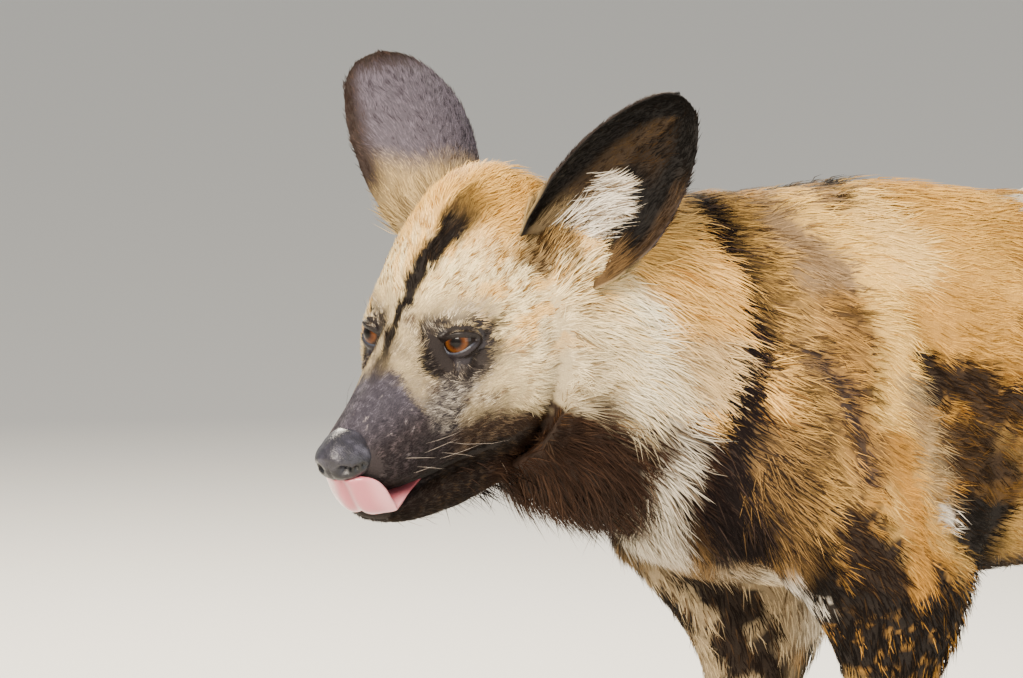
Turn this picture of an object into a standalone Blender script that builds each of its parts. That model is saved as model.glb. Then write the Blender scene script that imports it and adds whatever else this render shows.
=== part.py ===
"""African wild dog, a still life-size model that stands on its four feet.

Metres, +Z up. The dog faces -X, its left side is at -Y and the floor is z = 0. Each part of the body is one
closed solid. Its surface is the outside of the coat.
"""

import math

import bmesh
import bpy
import numpy as np
from mathutils import Matrix, Vector

GAP = 0.00035  # between two solids that touch

# Driving sizes of an adult dog

# Place and turn of the head: the point midway between the pupils, then degrees
HEAD_AT = (-0.471, -0.036, 0.604)
HEAD_TURN_LEFT = 28.0
HEAD_NOD_DOWN = 25.0
HEAD_ROLL = 2.0


def clear_scene():
    """Removes whatever the file holds."""
    for old in list(bpy.data.objects):
        bpy.data.objects.remove(old)
    for old in list(bpy.data.collections):
        bpy.data.collections.remove(old)


def smooth(xs, ys, x):
    """Monotone cubic curve through the rows (xs, ys), read at x. It never swings past its own points."""
    xs, ys = np.asarray(xs, float), np.asarray(ys, float)
    flat = ys.ndim == 1
    ys = ys.reshape(len(xs), -1)
    step = np.diff(xs)[:, None]
    slope = np.diff(ys, axis=0) / step
    both = slope[:-1] * slope[1:]
    mean = np.where(both > 0, 2 * both / np.where(both > 0, slope[:-1] + slope[1:], 1), 0)
    tangent = np.vstack([slope[:1], mean, slope[-1:]])
    x = np.clip(np.atleast_1d(np.asarray(x, float)), xs[0], xs[-1])
    i = np.clip(np.searchsorted(xs, x, side="right") - 1, 0, len(xs) - 2)
    t = ((x - xs[i])[:, None]) / step[i]
    value = (
        (2 * t**3 - 3 * t**2 + 1) * ys[i]
        + (t**3 - 2 * t**2 + t) * step[i] * tangent[i]
        + (3 * t**2 - 2 * t**3) * ys[i + 1]
        + (t**3 - t**2) * step[i] * tangent[i + 1]
    )
    return value[:, 0] if flat else value


def unit(v):
    """Rows of v at length one."""
    v = np.asarray(v, float)
    return v / np.maximum(np.linalg.norm(v, axis=-1, keepdims=True), 1e-12)


def head_axes():
    """Forward, left and up of the head, as rows."""
    turn, nod, roll = (math.radians(a) for a in (HEAD_TURN_LEFT, HEAD_NOD_DOWN, HEAD_ROLL))
    ahead = np.array([-math.cos(turn) * math.cos(nod), -math.sin(turn) * math.cos(nod), -math.sin(nod)])
    left = np.array([math.sin(turn), -math.cos(turn), 0.0])
    up = np.cross(ahead, left)
    return np.array([
        ahead,
        math.cos(roll) * left - math.sin(roll) * up,
        math.sin(roll) * left + math.cos(roll) * up,
    ])


HEAD_AXES = head_axes()


def from_head(points):
    """Points given as ahead, left and up of the head, in the model's own frame."""
    return np.asarray(HEAD_AT) + np.asarray(points, float) @ HEAD_AXES


def mesh_object(name, points, faces):
    """An object made from an array of points and a list of faces, with its normals turned outwards."""
    mesh = bpy.data.meshes.new(name)
    corners = np.asarray(points, float).reshape(-1, 3).tolist()
    mesh.from_pydata(corners, [], [list(map(int, f)) for f in faces])
    shape = bmesh.new()
    shape.from_mesh(mesh)
    bmesh.ops.triangulate(shape, faces=shape.faces)
    bmesh.ops.recalc_face_normals(shape, faces=shape.faces)
    shape.to_mesh(mesh)
    shape.free()
    made = bpy.data.objects.new(name, mesh)
    bpy.context.scene.collection.objects.link(made)
    return made


def loft(name, rings):
    """A closed solid through rings of points, an array (rings, points, 3), with a flat cap at each end."""
    rings = np.asarray(rings, float)
    count, around = rings.shape[:2]
    index = np.arange(count * around).reshape(count, around)
    nxt = np.roll(index, -1, axis=1)
    sides = np.stack([index[:-1], nxt[:-1], nxt[1:], index[1:]], axis=-1).reshape(-1, 4)
    return mesh_object(name, rings, [*sides, index[0][::-1], index[-1]])


def oval(angle, half_width, top, bottom, power=2.0):
    """Sideways and upward offsets of a superellipse section with its own height above and below."""
    c, s = np.cos(angle), np.sin(angle)
    across = half_width * np.sign(c) * np.abs(c) ** (2.0 / power)
    height = np.where(s > 0, top, bottom) * np.sign(s) * np.abs(s) ** (2.0 / power)
    return across, height


def spine_rings(stations, around, steps, power=2.0):
    """Rings along a path. A station is x, y, z, half width, height above and depth below the path."""
    stations = np.asarray(stations, float)
    reach = np.concatenate([[0], np.cumsum(np.linalg.norm(np.diff(stations[:, :3], axis=0), axis=1))])
    t = np.linspace(0, reach[-1], steps)
    path = smooth(reach, stations, t)
    ahead = unit(np.gradient(path[:, :3], t, axis=0))
    left = unit(np.cross([0, 0, 1], ahead))
    up = np.cross(ahead, left)
    angle = np.linspace(0, 2 * math.pi, around, endpoint=False)
    across, height = oval(angle, path[:, 3:4], path[:, 4:5], path[:, 5:6], power)
    return path[:, None, :3] + across[..., None] * left[:, None] + height[..., None] * up[:, None]


def swell(points, centre, radius, push):
    """Moves points near centre by push, a vector, fading with distance as a bell curve."""
    away = np.linalg.norm(points - np.asarray(centre), axis=-1, keepdims=True)
    return points + np.exp(-((away / radius) ** 2)) * np.asarray(push)


def both_sides(points, brushes):
    """Applies brushes given for the left side to both sides of the head, in the head's own frame."""
    for centre, radius, push in brushes:
        for side in (1, -1):
            flip = np.array([1, side, 1])
            points = swell(points, np.asarray(centre) * flip, radius, np.asarray(push) * flip)
    return points


def head_rings(rows, around, steps, power):
    """Rings across the head's length: ahead, half width, top, widest height, bottom, narrowing of the top."""
    rows = np.asarray(rows, float)
    ahead = np.linspace(rows[0, 0], rows[-1, 0], steps)
    half_width, top, middle, bottom, narrow = smooth(rows[:, 0], rows[:, 1:], ahead).T
    angle = np.linspace(0, 2 * math.pi, around, endpoint=False)
    across, height = oval(
        angle, half_width[:, None], (top - middle)[:, None], (middle - bottom)[:, None], power
    )
    across = across * (1 - narrow[:, None] * np.clip(np.sin(angle), 0, 1) ** 1.5)
    ahead = np.broadcast_to(ahead[:, None], across.shape)
    grid = np.stack([ahead, across, middle[:, None] + height], axis=-1)
    return grid


SKULL = [
    (-0.140, 0.036, 0.030, -0.030, -0.070, 0.0),
    (-0.130, 0.054, 0.052, -0.032, -0.090, 0.08),
    (-0.112, 0.066, 0.064, -0.034, -0.102, 0.15),
    (-0.090, 0.072, 0.067, -0.036, -0.108, 0.22),
    (-0.060, 0.073, 0.063, -0.038, -0.110, 0.28),
    (-0.030, 0.067, 0.048, -0.042, -0.108, 0.30),
    (-0.010, 0.057, 0.032, -0.044, -0.102, 0.28),
    (0.005, 0.049, 0.020, -0.043, -0.094, 0.26),
    (0.020, 0.0420, 0.0100, -0.042, -0.0865, 0.28),
    (0.035, 0.0365, 0.0020, -0.042, -0.0825, 0.36),
    (0.053, 0.0320, -0.0040, -0.041, -0.0780, 0.44),
    (0.071, 0.0285, -0.0082, -0.040, -0.0705, 0.52),
    (0.087, 0.0245, -0.0125, -0.038, -0.0600, 0.58),
    (0.098, 0.0180, -0.0165, -0.036, -0.0510, 0.45),
    (0.104, 0.0100, -0.0200, -0.034, -0.0440, 0.10),
]
# Dents and swellings of the left side of the face: middle, reach and push
FACE_FORMS = [
    ((0.014, 0.044, -0.006), 0.018, (0.000, -0.007, 0.000)),
    ((0.006, 0.027, -0.004), 0.011, (0.000, -0.003, -0.003)),
    ((-0.012, 0.034, 0.020), 0.014, (0.002, 0.002, 0.004)),
    ((-0.035, 0.066, -0.030), 0.026, (0.000, 0.005, 0.000)),
    ((0.080, 0.028, -0.046), 0.018, (0.000, 0.003, -0.001)),
    ((-0.070, 0.000, 0.060), 0.030, (0.000, 0.000, 0.003)),
]
EYE_RADIUS = 0.0120
EYE_CENTRE = (-0.0055, 0.0292, -0.0044)
LID_THICKNESS = 0.0026
GAZE = (0.85, 0.34, 0.40)
# Opening between the lids, in degrees from the gaze: towards the outer corner, then upwards
LID_OPENING = [
    (-45, -25), (-38, -37), (-7, -39), (24, -31), (52, -15), (78, -3), (78, 3), (64, 9),
    (35, 14), (10, 16), (-16, 14), (-41, 6), (-50, -2), (-48, -13),
]
NOSE = [
    (0.089, 0.0145, -0.0150, -0.028, -0.0360, 0.20),
    (0.095, 0.0185, -0.0140, -0.031, -0.0410, 0.42),
    (0.101, 0.0185, -0.0145, -0.032, -0.0425, 0.50),
    (0.1075, 0.0152, -0.0165, -0.031, -0.0415, 0.40),
    (0.1120, 0.0115, -0.0190, -0.0295, -0.0385, 0.20),
    (0.1150, 0.0065, -0.0220, -0.0275, -0.0335, 0.0),
]
# Nostril on the left: ahead, left, up and radius, from the mouth of the hole inwards, then its slit
NOSTRIL = [
    (0.1175, 0.0080, -0.0310, 0.0030),
    (0.1120, 0.0085, -0.0308, 0.0036),
    (0.1040, 0.0092, -0.0295, 0.0028),
    (0.0980, 0.0095, -0.0285, 0.0012),
]
NOSTRIL_SLIT = [
    (0.1110, 0.0100, -0.0318, 0.0022),
    (0.1080, 0.0145, -0.0320, 0.0020),
    (0.1030, 0.0180, -0.0316, 0.0018),
    (0.0980, 0.0212, -0.0306, 0.0012),
]
JAW = [
    (-0.045, 0.028, -0.088, -0.100, -0.113, 0.0),
    (-0.010, 0.034, -0.083, -0.099, -0.115, 0.0),
    (0.020, 0.0315, -0.078, -0.094, -0.111, 0.0),
    (0.044, 0.0275, -0.0745, -0.089, -0.104, 0.0),
    (0.062, 0.0240, -0.0720, -0.085, -0.0975, 0.0),
    (0.076, 0.0205, -0.0700, -0.081, -0.0905, 0.0),
    (0.085, 0.0155, -0.0695, -0.078, -0.0845, 0.0),
    (0.0895, 0.0070, -0.0720, -0.0765, -0.0800, 0.0),
]
# Tongue from inside the mouth, over the lower lip and up to the nose: ahead, up and half width
TONGUE = [
    (0.046, -0.0710, 0.0150),
    (0.070, -0.0705, 0.0175),
    (0.083, -0.0710, 0.0195),
    (0.0930, -0.0705, 0.0210),
    (0.1000, -0.0655, 0.0215),
    (0.1035, -0.0570, 0.0215),
    (0.1055, -0.0480, 0.0200),
    (0.1072, -0.0418, 0.0165),
    (0.1076, -0.0398, 0.0120),
]
TONGUE_THICKNESS = 0.0048
# Half width of the ear's sheet laid flat and how far round it rolls, from its root to its tip
EAR_SHEET = [
    (0.00, 0.0520, 100),
    (0.12, 0.0560, 92),
    (0.28, 0.0560, 82),
    (0.45, 0.0520, 72),
    (0.62, 0.0455, 62),
    (0.78, 0.0360, 52),
    (0.90, 0.0260, 44),
    (0.97, 0.0160, 38),
    (1.00, 0.0070, 36),
]
# Root, tip direction and the way each ear opens, as ahead, left and up, then its length, the degrees by
# which it turns about itself towards its tip, and how much flatter and how much broader it is there
EAR_LEFT = ((-0.098, 0.058, 0.012), (-0.41, 0.57, 0.71), (0.874, 0.387, 0.294), 0.124, 38.0, 0.0, 0.0)
EAR_RIGHT = ((-0.108, -0.027, 0.024), (-0.50, -0.64, 0.60), (-0.05, -0.66, -0.74), 0.128, 0.0, 0.45, 0.34)
TRUNK = [
    (-0.300, 0, 0.565, 0.045, 0.080, 0.085),
    (-0.275, 0, 0.560, 0.072, 0.112, 0.110),
    (-0.220, 0, 0.553, 0.088, 0.132, 0.128),
    (-0.140, 0, 0.550, 0.096, 0.138, 0.133),
    (-0.050, 0, 0.550, 0.101, 0.130, 0.129),
    (0.050, 0, 0.553, 0.100, 0.123, 0.127),
    (0.150, 0, 0.562, 0.092, 0.110, 0.112),
    (0.240, 0, 0.572, 0.082, 0.097, 0.100),
    (0.320, 0, 0.575, 0.078, 0.084, 0.098),
    (0.380, 0, 0.573, 0.062, 0.064, 0.085),
    (0.405, 0, 0.572, 0.030, 0.035, 0.045),
]
NECK = [
    (-0.180, 0.000, 0.555, 0.084, 0.129, 0.106),
    (-0.225, 0.000, 0.560, 0.083, 0.126, 0.106),
    (-0.285, -0.002, 0.575, 0.080, 0.113, 0.108),
    (-0.335, -0.007, 0.593, 0.077, 0.099, 0.110),
    (-0.370, -0.014, 0.604, 0.073, 0.086, 0.102),
    (-0.395, -0.019, 0.608, 0.063, 0.068, 0.086),
    (-0.412, -0.024, 0.608, 0.044, 0.046, 0.060),
    (-0.420, -0.028, 0.608, 0.018, 0.018, 0.026),
]
NECK_PLANE = ((-0.248, 0.0, 0.565), (1.0, 0.0, -0.17))
TAIL = [
    (0.380, 0, 0.604, 0.019, 0.018, 0.018),
    (0.415, 0, 0.598, 0.018, 0.017, 0.018),
    (0.447, 0, 0.565, 0.018, 0.019, 0.019),
    (0.468, 0, 0.500, 0.019, 0.020, 0.020),
    (0.480, 0, 0.420, 0.020, 0.021, 0.021),
    (0.487, 0, 0.340, 0.019, 0.020, 0.020),
    (0.492, 0, 0.280, 0.012, 0.013, 0.013),
    (0.494, 0, 0.262, 0.004, 0.004, 0.004),
]
# Leg outlines seen from the side: height, front edge, back edge, middle and half width across
FORELEG = [
    (0.650, -0.195, -0.140, 0.045, 0.012),
    (0.610, -0.232, -0.112, 0.062, 0.026),
    (0.560, -0.254, -0.088, 0.072, 0.036),
    (0.510, -0.264, -0.076, 0.076, 0.042),
    (0.480, -0.262, -0.076, 0.077, 0.043),
    (0.452, -0.243, -0.081, 0.076, 0.041),
    (0.424, -0.214, -0.089, 0.075, 0.037),
    (0.400, -0.195, -0.096, 0.074, 0.033),
    (0.373, -0.182, -0.110, 0.073, 0.029),
    (0.330, -0.174, -0.118, 0.071, 0.0245),
    (0.260, -0.168, -0.126, 0.070, 0.0190),
    (0.205, -0.166, -0.128, 0.070, 0.0180),
    (0.170, -0.169, -0.125, 0.070, 0.0195),
    (0.140, -0.165, -0.128, 0.070, 0.0175),
    (0.090, -0.168, -0.136, 0.070, 0.0170),
    (0.045, -0.178, -0.142, 0.070, 0.0185),
]
HINDLEG = [
    (0.625, 0.275, 0.365, 0.045, 0.018),
    (0.580, 0.238, 0.390, 0.060, 0.034),
    (0.530, 0.208, 0.400, 0.067, 0.040),
    (0.480, 0.194, 0.392, 0.069, 0.041),
    (0.430, 0.193, 0.368, 0.070, 0.038),
    (0.390, 0.204, 0.340, 0.071, 0.034),
    (0.340, 0.238, 0.338, 0.072, 0.028),
    (0.290, 0.280, 0.352, 0.072, 0.022),
    (0.240, 0.316, 0.376, 0.073, 0.0180),
    (0.200, 0.343, 0.402, 0.074, 0.0165),
    (0.170, 0.357, 0.404, 0.074, 0.0170),
    (0.130, 0.360, 0.397, 0.074, 0.0155),
    (0.080, 0.354, 0.388, 0.074, 0.0155),
    (0.045, 0.346, 0.384, 0.074, 0.0175),
]
# How each leg stands: height in the table above, then how far back and up it is moved
FORE_LEFT = [(0.65, 0, 0), (0.045, 0, 0)]
FORE_RIGHT = [
    (0.65, 0, 0), (0.48, -0.012, -0.018), (0.40, -0.016, -0.022), (0.17, -0.048, -0.014), (0.045, -0.062, 0),
]
HIND_LEFT = [
    (0.625, 0, 0), (0.43, 0.004, 0), (0.20, 0.016, -0.004), (0.045, 0.020, 0),
]
HIND_RIGHT = [
    (0.625, 0, 0), (0.43, -0.010, -0.004), (0.20, -0.034, -0.008), (0.045, -0.042, 0),
]
# Sole of a paw upwards: height, middle, half length and half width, from the leg's own middle
PALM = [
    (0.0447, 0.000, 0.0180, 0.0185),
    (0.0340, -0.004, 0.0235, 0.0225),
    (0.0220, -0.010, 0.0290, 0.0270),
    (0.0100, -0.012, 0.0300, 0.0275),
    (-0.0040, -0.012, 0.0280, 0.0255),
]
# Toe: ahead, up, half width, height above and depth below its path
TOE = [
    (0.012, 0.020, 0.0085, 0.0120, 0.0260),
    (0.034, 0.0215, 0.0100, 0.0125, 0.0270),
    (0.050, 0.0165, 0.0104, 0.0110, 0.0210),
    (0.060, 0.0120, 0.0082, 0.0085, 0.0160),
    (0.0655, 0.0100, 0.0030, 0.0030, 0.0060),
]
TOES = [(-0.0180, -0.0270, 0.86), (-0.0065, -0.0098, 1.0), (0.0065, 0.0098, 1.0), (0.0180, 0.0270, 0.86)]


def leg_rings(rows, side, around, steps, pose):
    """Level rings down a leg. A pose row is a height in the table, then how far back and up it is moved."""
    rows, pose = np.asarray(rows, float)[::-1], np.asarray(pose, float)[::-1]
    reach = np.linspace(0, 1, len(rows))
    z, front, back, middle, half_width = smooth(reach, rows, np.linspace(0, 1, steps)).T
    back_by, up_by = smooth(pose[:, 0], pose[:, 1:], z).T
    angle = np.linspace(0, 2 * math.pi, around, endpoint=False)
    x = ((front + back) / 2 + back_by)[:, None] + (back - front)[:, None] / 2 * np.cos(angle)
    y = side * (middle[:, None] + half_width[:, None] * np.sin(angle))
    return np.stack([x, y, np.broadcast_to((z + up_by)[:, None], x.shape)], axis=-1)


def tube(stations, around, into=None):
    """Rings along a path of x, y, z and radius. The path may turn any way."""
    stations = np.asarray(stations, float)
    path = stations[:, :3] if into is None else into(stations[:, :3])
    ahead = unit(np.gradient(path, axis=0))
    side = unit(np.cross(ahead, [0.31, 0.22, 0.92]))
    up = np.cross(side, ahead)
    angle = np.linspace(0, 2 * math.pi, around, endpoint=False)[:, None]
    radius = stations[:, None, 3:4]
    return path[:, None] + radius * (np.cos(angle) * side[:, None] + np.sin(angle) * up[:, None])


def sheet(name, front, back):
    """A thin closed solid between two grids of points of the same shape."""
    front, back = np.asarray(front, float), np.asarray(back, float)
    rows, columns = front.shape[:2]
    index = np.arange(rows * columns).reshape(rows, columns)
    quads = np.stack([index[:-1, :-1], index[:-1, 1:], index[1:, 1:], index[1:, :-1]], axis=-1).reshape(-1, 4)
    edge = np.concatenate([index[0, :-1], index[:-1, -1], index[-1, :0:-1], index[:0:-1, 0]])
    after = np.roll(edge, -1)
    count = rows * columns
    rim = np.stack([edge, edge + count, after + count, after], axis=-1)
    points = np.concatenate([front.reshape(-1, 3), back.reshape(-1, 3)])
    return mesh_object(name, points, [*quads, *(quads[:, ::-1] + count), *rim])


def ball(name, centre, radius, around=20, steps=12):
    """A round solid."""
    angle = np.linspace(0.12, math.pi - 0.12, steps)
    ring = np.linspace(0, 2 * math.pi, around, endpoint=False)
    points = np.stack(
        [
            np.sin(angle)[:, None] * np.cos(ring),
            np.sin(angle)[:, None] * np.sin(ring),
            np.broadcast_to(np.cos(angle)[:, None], (steps, around)),
        ],
        axis=-1,
    )
    return loft(name, np.asarray(centre) + radius * points)


def drop(shapes):
    """Removes helper solids once they have done their work."""
    for shape in shapes:
        bpy.data.objects.remove(shape)


def largest_only(made):
    """Keeps the closed surface with the most volume and drops any crumb a cut has left."""
    shape = bmesh.new()
    shape.from_mesh(made.data)
    bmesh.ops.triangulate(shape, faces=shape.faces)
    waiting = set(shape.faces)
    groups = []
    while waiting:
        group = [waiting.pop()]
        for face in group:
            for edge in face.edges:
                for near in edge.link_faces:
                    if near in waiting:
                        waiting.discard(near)
                        group.append(near)
        volume = sum(
            f.verts[0].co.dot(f.verts[1].co.cross(f.verts[2].co)) / 6 for f in group
        )
        groups.append((volume, len(groups), group))
    groups.sort(key=lambda g: (g[0], g[1]))
    for _, _, group in groups[:-1]:
        bmesh.ops.delete(shape, geom=group, context="FACES")
    loose = [v for v in shape.verts if not v.link_faces]
    bmesh.ops.delete(shape, geom=loose, context="VERTS")
    shape.to_mesh(made.data)
    shape.free()


def combine(made, others, operation="DIFFERENCE", solver="EXACT"):
    """Cuts other solids out of one, or joins them to it, and keeps what is left in one piece."""
    for other in others:
        change = made.modifiers.new("combine", "BOOLEAN")
        change.operation = operation
        change.solver = solver
        change.object = other
        shaped = made.evaluated_get(bpy.context.evaluated_depsgraph_get())
        mesh = bpy.data.meshes.new_from_object(shaped)
        made.modifiers.clear()
        made.data = mesh
    largest_only(made)
    return made


def grown(made, by=GAP):
    """A copy of a solid, larger by a thin even skin."""
    shape = bmesh.new()
    shape.from_mesh(made.data)
    shape.normal_update()
    moved = [v.co + v.normal * min(v.calc_shell_factor(), 2.5) * by for v in shape.verts]
    for v, place in zip(shape.verts, moved):
        v.co = place
    mesh = bpy.data.meshes.new("grown")
    shape.to_mesh(mesh)
    shape.free()
    copy = bpy.data.objects.new("grown", mesh)
    bpy.context.scene.collection.objects.link(copy)
    return copy


def cut_by(made, neighbours):
    """Cuts grown copies of neighbours out of a solid, which leaves a thin even gap."""
    cutters = [grown(n) for n in neighbours]
    combine(made, cutters)
    drop(cutters)
    return made


def half_space(at, ahead, offset=0.0):
    """A large block on the far side of a plane."""
    ahead = Vector(ahead).normalized()
    corners = [(x, y, z) for z in (0, 1) for x, y in ((-1, -1), (1, -1), (1, 1), (-1, 1))]
    turn = ahead.to_track_quat("Z", "Y").to_matrix()
    points = [Vector(at) + ahead * offset + turn @ Vector(c) for c in corners]
    faces = [(0, 1, 2, 3), (4, 5, 6, 7), (0, 1, 5, 4), (1, 2, 6, 5), (2, 3, 7, 6), (3, 0, 4, 7)]
    return mesh_object("block", points, faces)


def mirrored(rows, side):
    """Head places given for the left side, moved to one side."""
    rows = np.array(rows, float)
    rows[..., 1] *= side
    return rows


def eye_frame(side):
    """Gaze, direction of the outer corner and up of one eye, in the head's own frame."""
    gaze = unit(mirrored(GAZE, side))
    outer = unit(np.cross([0, 0, 1.0], gaze)) * side
    up = np.cross(gaze, outer) * side
    return gaze, outer, up


def lid_cutter(side):
    """The opening between the lids, as a cone that widens outwards from the middle of the eye."""
    gaze, outer, up = eye_frame(side)
    a, b = np.radians(np.asarray(LID_OPENING, float)).T
    away = (
        (np.cos(b) * np.cos(a))[:, None] * gaze
        + (np.cos(b) * np.sin(a))[:, None] * outer
        + np.sin(b)[:, None] * up
    )
    centre = mirrored(EYE_CENTRE, side)
    rings = [centre + away * EYE_RADIUS * reach for reach in (0.6, 1.7)]
    return loft("opening", from_head(rings))


def make_head():
    """Head with lids, a nose with nostrils, the lower jaw, the tongue and both eyes."""
    head = loft("head", from_head(both_sides(head_rings(SKULL, 22, 24, 2.15), FACE_FORMS)))
    eyes = {}
    for name, side in (("eye_left", 1), ("eye_right", -1)):
        centre = from_head(mirrored(EYE_CENTRE, side))
        eyes[name] = ball(name, centre, EYE_RADIUS, 14, 9)
        dome = ball("dome", centre, EYE_RADIUS + LID_THICKNESS, 14, 8)
        opening = lid_cutter(side)
        combine(head, [dome], "UNION")
        combine(head, [opening])
        drop([dome, opening])
    nose = loft("nose", from_head(head_rings(NOSE, 14, 8, 2.3)))
    for side in (1, -1):
        cutters = [
            loft("nostril", tube(mirrored(rows, side), 6, from_head)) for rows in (NOSTRIL, NOSTRIL_SLIT)
        ]
        combine(nose, cutters)
        drop(cutters)
    jaw = loft("jaw", from_head(head_rings(JAW, 14, 10, 2.3)))
    tongue = make_tongue()
    cut_by(nose, [tongue])
    cut_by(head, [*eyes.values(), nose, tongue])
    cut_by(jaw, [head, tongue])
    return {"head": head, "nose": nose, "jaw": jaw, "tongue": tongue, **eyes}


def make_tongue():
    """A curled sheet with a groove down its middle and thin rounded edges."""
    rows = np.asarray(TONGUE, float)
    reach = np.concatenate([[0], np.cumsum(np.linalg.norm(np.diff(rows[:, :2], axis=0), axis=1))])
    at = np.linspace(0, reach[-1], 11)
    ahead, up, half_width = smooth(reach, rows, at).T
    path = np.stack([ahead, up], axis=-1)
    along = unit(np.gradient(path, at, axis=0))
    across = np.linspace(-1, 1, 9)
    wide = across * half_width[:, None]
    out = np.stack([-along[:, 1], along[:, 0]], axis=-1)
    groove = 0.0014 * np.exp(-((across / 0.16) ** 2))
    thick = TONGUE_THICKNESS / 2 * np.sqrt(np.clip(1 - 0.9 * across**4, 0, 1))
    wrap = 20 * wide**2 * smooth([0, 0.5, 0.7, 1], [0.0, 0.2, 1, 1], at / reach[-1])[:, None]
    grids = []
    for turn in (1, -1):
        offset = turn * thick + (groove if turn < 0 else 0)
        grids.append(
            np.stack(
                [
                    path[:, None, 0] + out[:, None, 0] * offset - wrap,
                    wide + 0.003,
                    path[:, None, 1] + out[:, None, 1] * offset,
                ],
                axis=-1,
            )
        )
    return sheet("tongue", from_head(grids[0]), from_head(grids[1]))


def make_ear(name, place):
    """A rolled sheet that opens from its root into a broad round ear and turns about itself."""
    root, axis, opening = (np.asarray(v, float) for v in place[:3])
    length, twist, flatter, broader = place[3:]
    axis = unit(axis)
    opening = unit(opening - axis * (opening @ axis))
    side = np.cross(axis, opening)
    t = 1 - (1 - np.linspace(0, 1, 10)) ** 1.25
    half_width, roll = smooth(*zip(*[(r[0], r[1:]) for r in EAR_SHEET]), t).T
    roll = np.radians(roll * (1 - flatter * t))
    half_width = half_width * (1 + broader * (t - 0.4))
    v = np.linspace(-1, 1, 9)
    radius = (half_width / roll)[:, None, None]
    twisted = np.radians(twist * t)[:, None, None]
    opens = np.cos(twisted) * opening + np.sin(twisted) * side
    across = np.cos(twisted) * side - np.sin(twisted) * opening
    turn = (v * roll[:, None])[..., None]
    middle = root + axis * (t * length)[:, None, None] - 0.012 * np.sin(t * math.pi)[:, None, None] * opens
    back = middle + radius * (np.sin(turn) * across + (1 - np.cos(turn)) * opens)
    inwards = np.cos(turn) * opens - np.sin(turn) * across
    thick = np.interp(t, [0, 0.4, 1], [0.0040, 0.0030, 0.0022])[:, None] * np.sqrt(1 - 0.75 * v**6)
    return sheet(name, from_head(back), from_head(back + inwards * thick[..., None]))


def foot_of(rows, side, pose):
    """Middle of a leg's lower end."""
    ring = leg_rings(rows, side, 8, 2, pose)[0]
    return ring.mean(axis=0)


def make_paw(name, rows, side, pose, size):
    """A paw with four toes and a flat sole, and its four claws."""
    foot = foot_of(rows, side, pose)
    palm = np.asarray(PALM, float)
    angle = np.linspace(0, 2 * math.pi, 10, endpoint=False)
    rings = []
    for height, middle, half_length, half_width in palm:
        grow = 1.0 if height > 0.044 else size
        rings.append(
            np.stack(
                [
                    foot[0] + middle * grow + half_length * grow * np.cos(angle),
                    foot[1] + half_width * grow * np.sin(angle),
                    np.full(10, height),
                ],
                axis=-1,
            )
        )
    top = leg_rings(rows, side, 10, 2, pose)[0]
    rings[0] = np.column_stack([top[:, :2], np.full(10, 0.045 - GAP)])
    if side < 0:
        rings[0] = rings[0][(-np.arange(10)) % 10]
    paw = loft(name, rings)
    claws = []
    toes = []
    for number, (root_y, tip_y, length) in enumerate(TOES, 1):
        toe = np.asarray(TOE, float)
        share = (toe[:, 0] - toe[0, 0]) / (toe[-1, 0] - toe[0, 0])
        y = root_y + (tip_y - root_y) * share
        stations = np.column_stack(
            [foot[0] - toe[:, 0] * length * size, foot[1] + y * size, toe[:, 1:2], toe[:, 2:] * size]
        )
        toe = spine_rings(stations, 8, 5, 2.2)
        toes.append(loft("toe", toe))
        tip = toe[-1].mean(axis=0)
        aim = unit(np.cross(toe[-1][2] - toe[-1][0], toe[-1][0] - toe[-1][4]))
        aim = aim * -np.sign(aim[0])
        claw = [
            (*(tip + aim * GAP), 0.0030),
            (*(tip + aim * 0.008 + [0, 0, 0.0010]), 0.0023),
            (*(tip + aim * 0.0155 + [0, 0, 0.0012]), 0.0007),
        ]
        claws.append(loft(name.replace("paw", "claw") + f"_{number}", tube(claw, 5)))
    for toe in toes:
        combine(paw, [toe], "UNION")
    drop(toes)
    floor = half_space((0, 0, 0), (0, 0, -1))
    combine(paw, [floor])
    drop([floor])
    return paw, claws


# Rings of locks, from the rear end forwards: share of the length, locks, size and lowest outward slope
RUFF = [(0.22, 11, 1.0, -1.0), (0.41, 11, 1.1, -0.8), (0.60, 11, 1.1, -0.5), (0.78, 10, 0.9, -0.35)]
# Shaggy throat: x and y of the root under the neck, and length
BEARD = [
    (-0.395, -0.040, 0.044),
    (-0.395, -0.010, 0.044),
    (-0.378, -0.056, 0.052),
    (-0.372, -0.028, 0.054),
    (-0.375, 0.008, 0.050),
    (-0.350, -0.050, 0.060),
    (-0.342, -0.014, 0.060),
    (-0.345, 0.024, 0.058),
    (-0.315, -0.036, 0.058),
    (-0.308, 0.000, 0.056),
    (-0.315, 0.036, 0.056),
    (-0.278, -0.022, 0.052),
    (-0.278, 0.018, 0.052),
]
BRUSH = [
    (0.20, 4, 0.85, -2.0),
    (0.36, 5, 1.1, -2.0),
    (0.51, 5, 1.25, -2.0),
    (0.66, 5, 1.3, -2.0),
    (0.82, 5, 1.2, -2.0),
]


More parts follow.
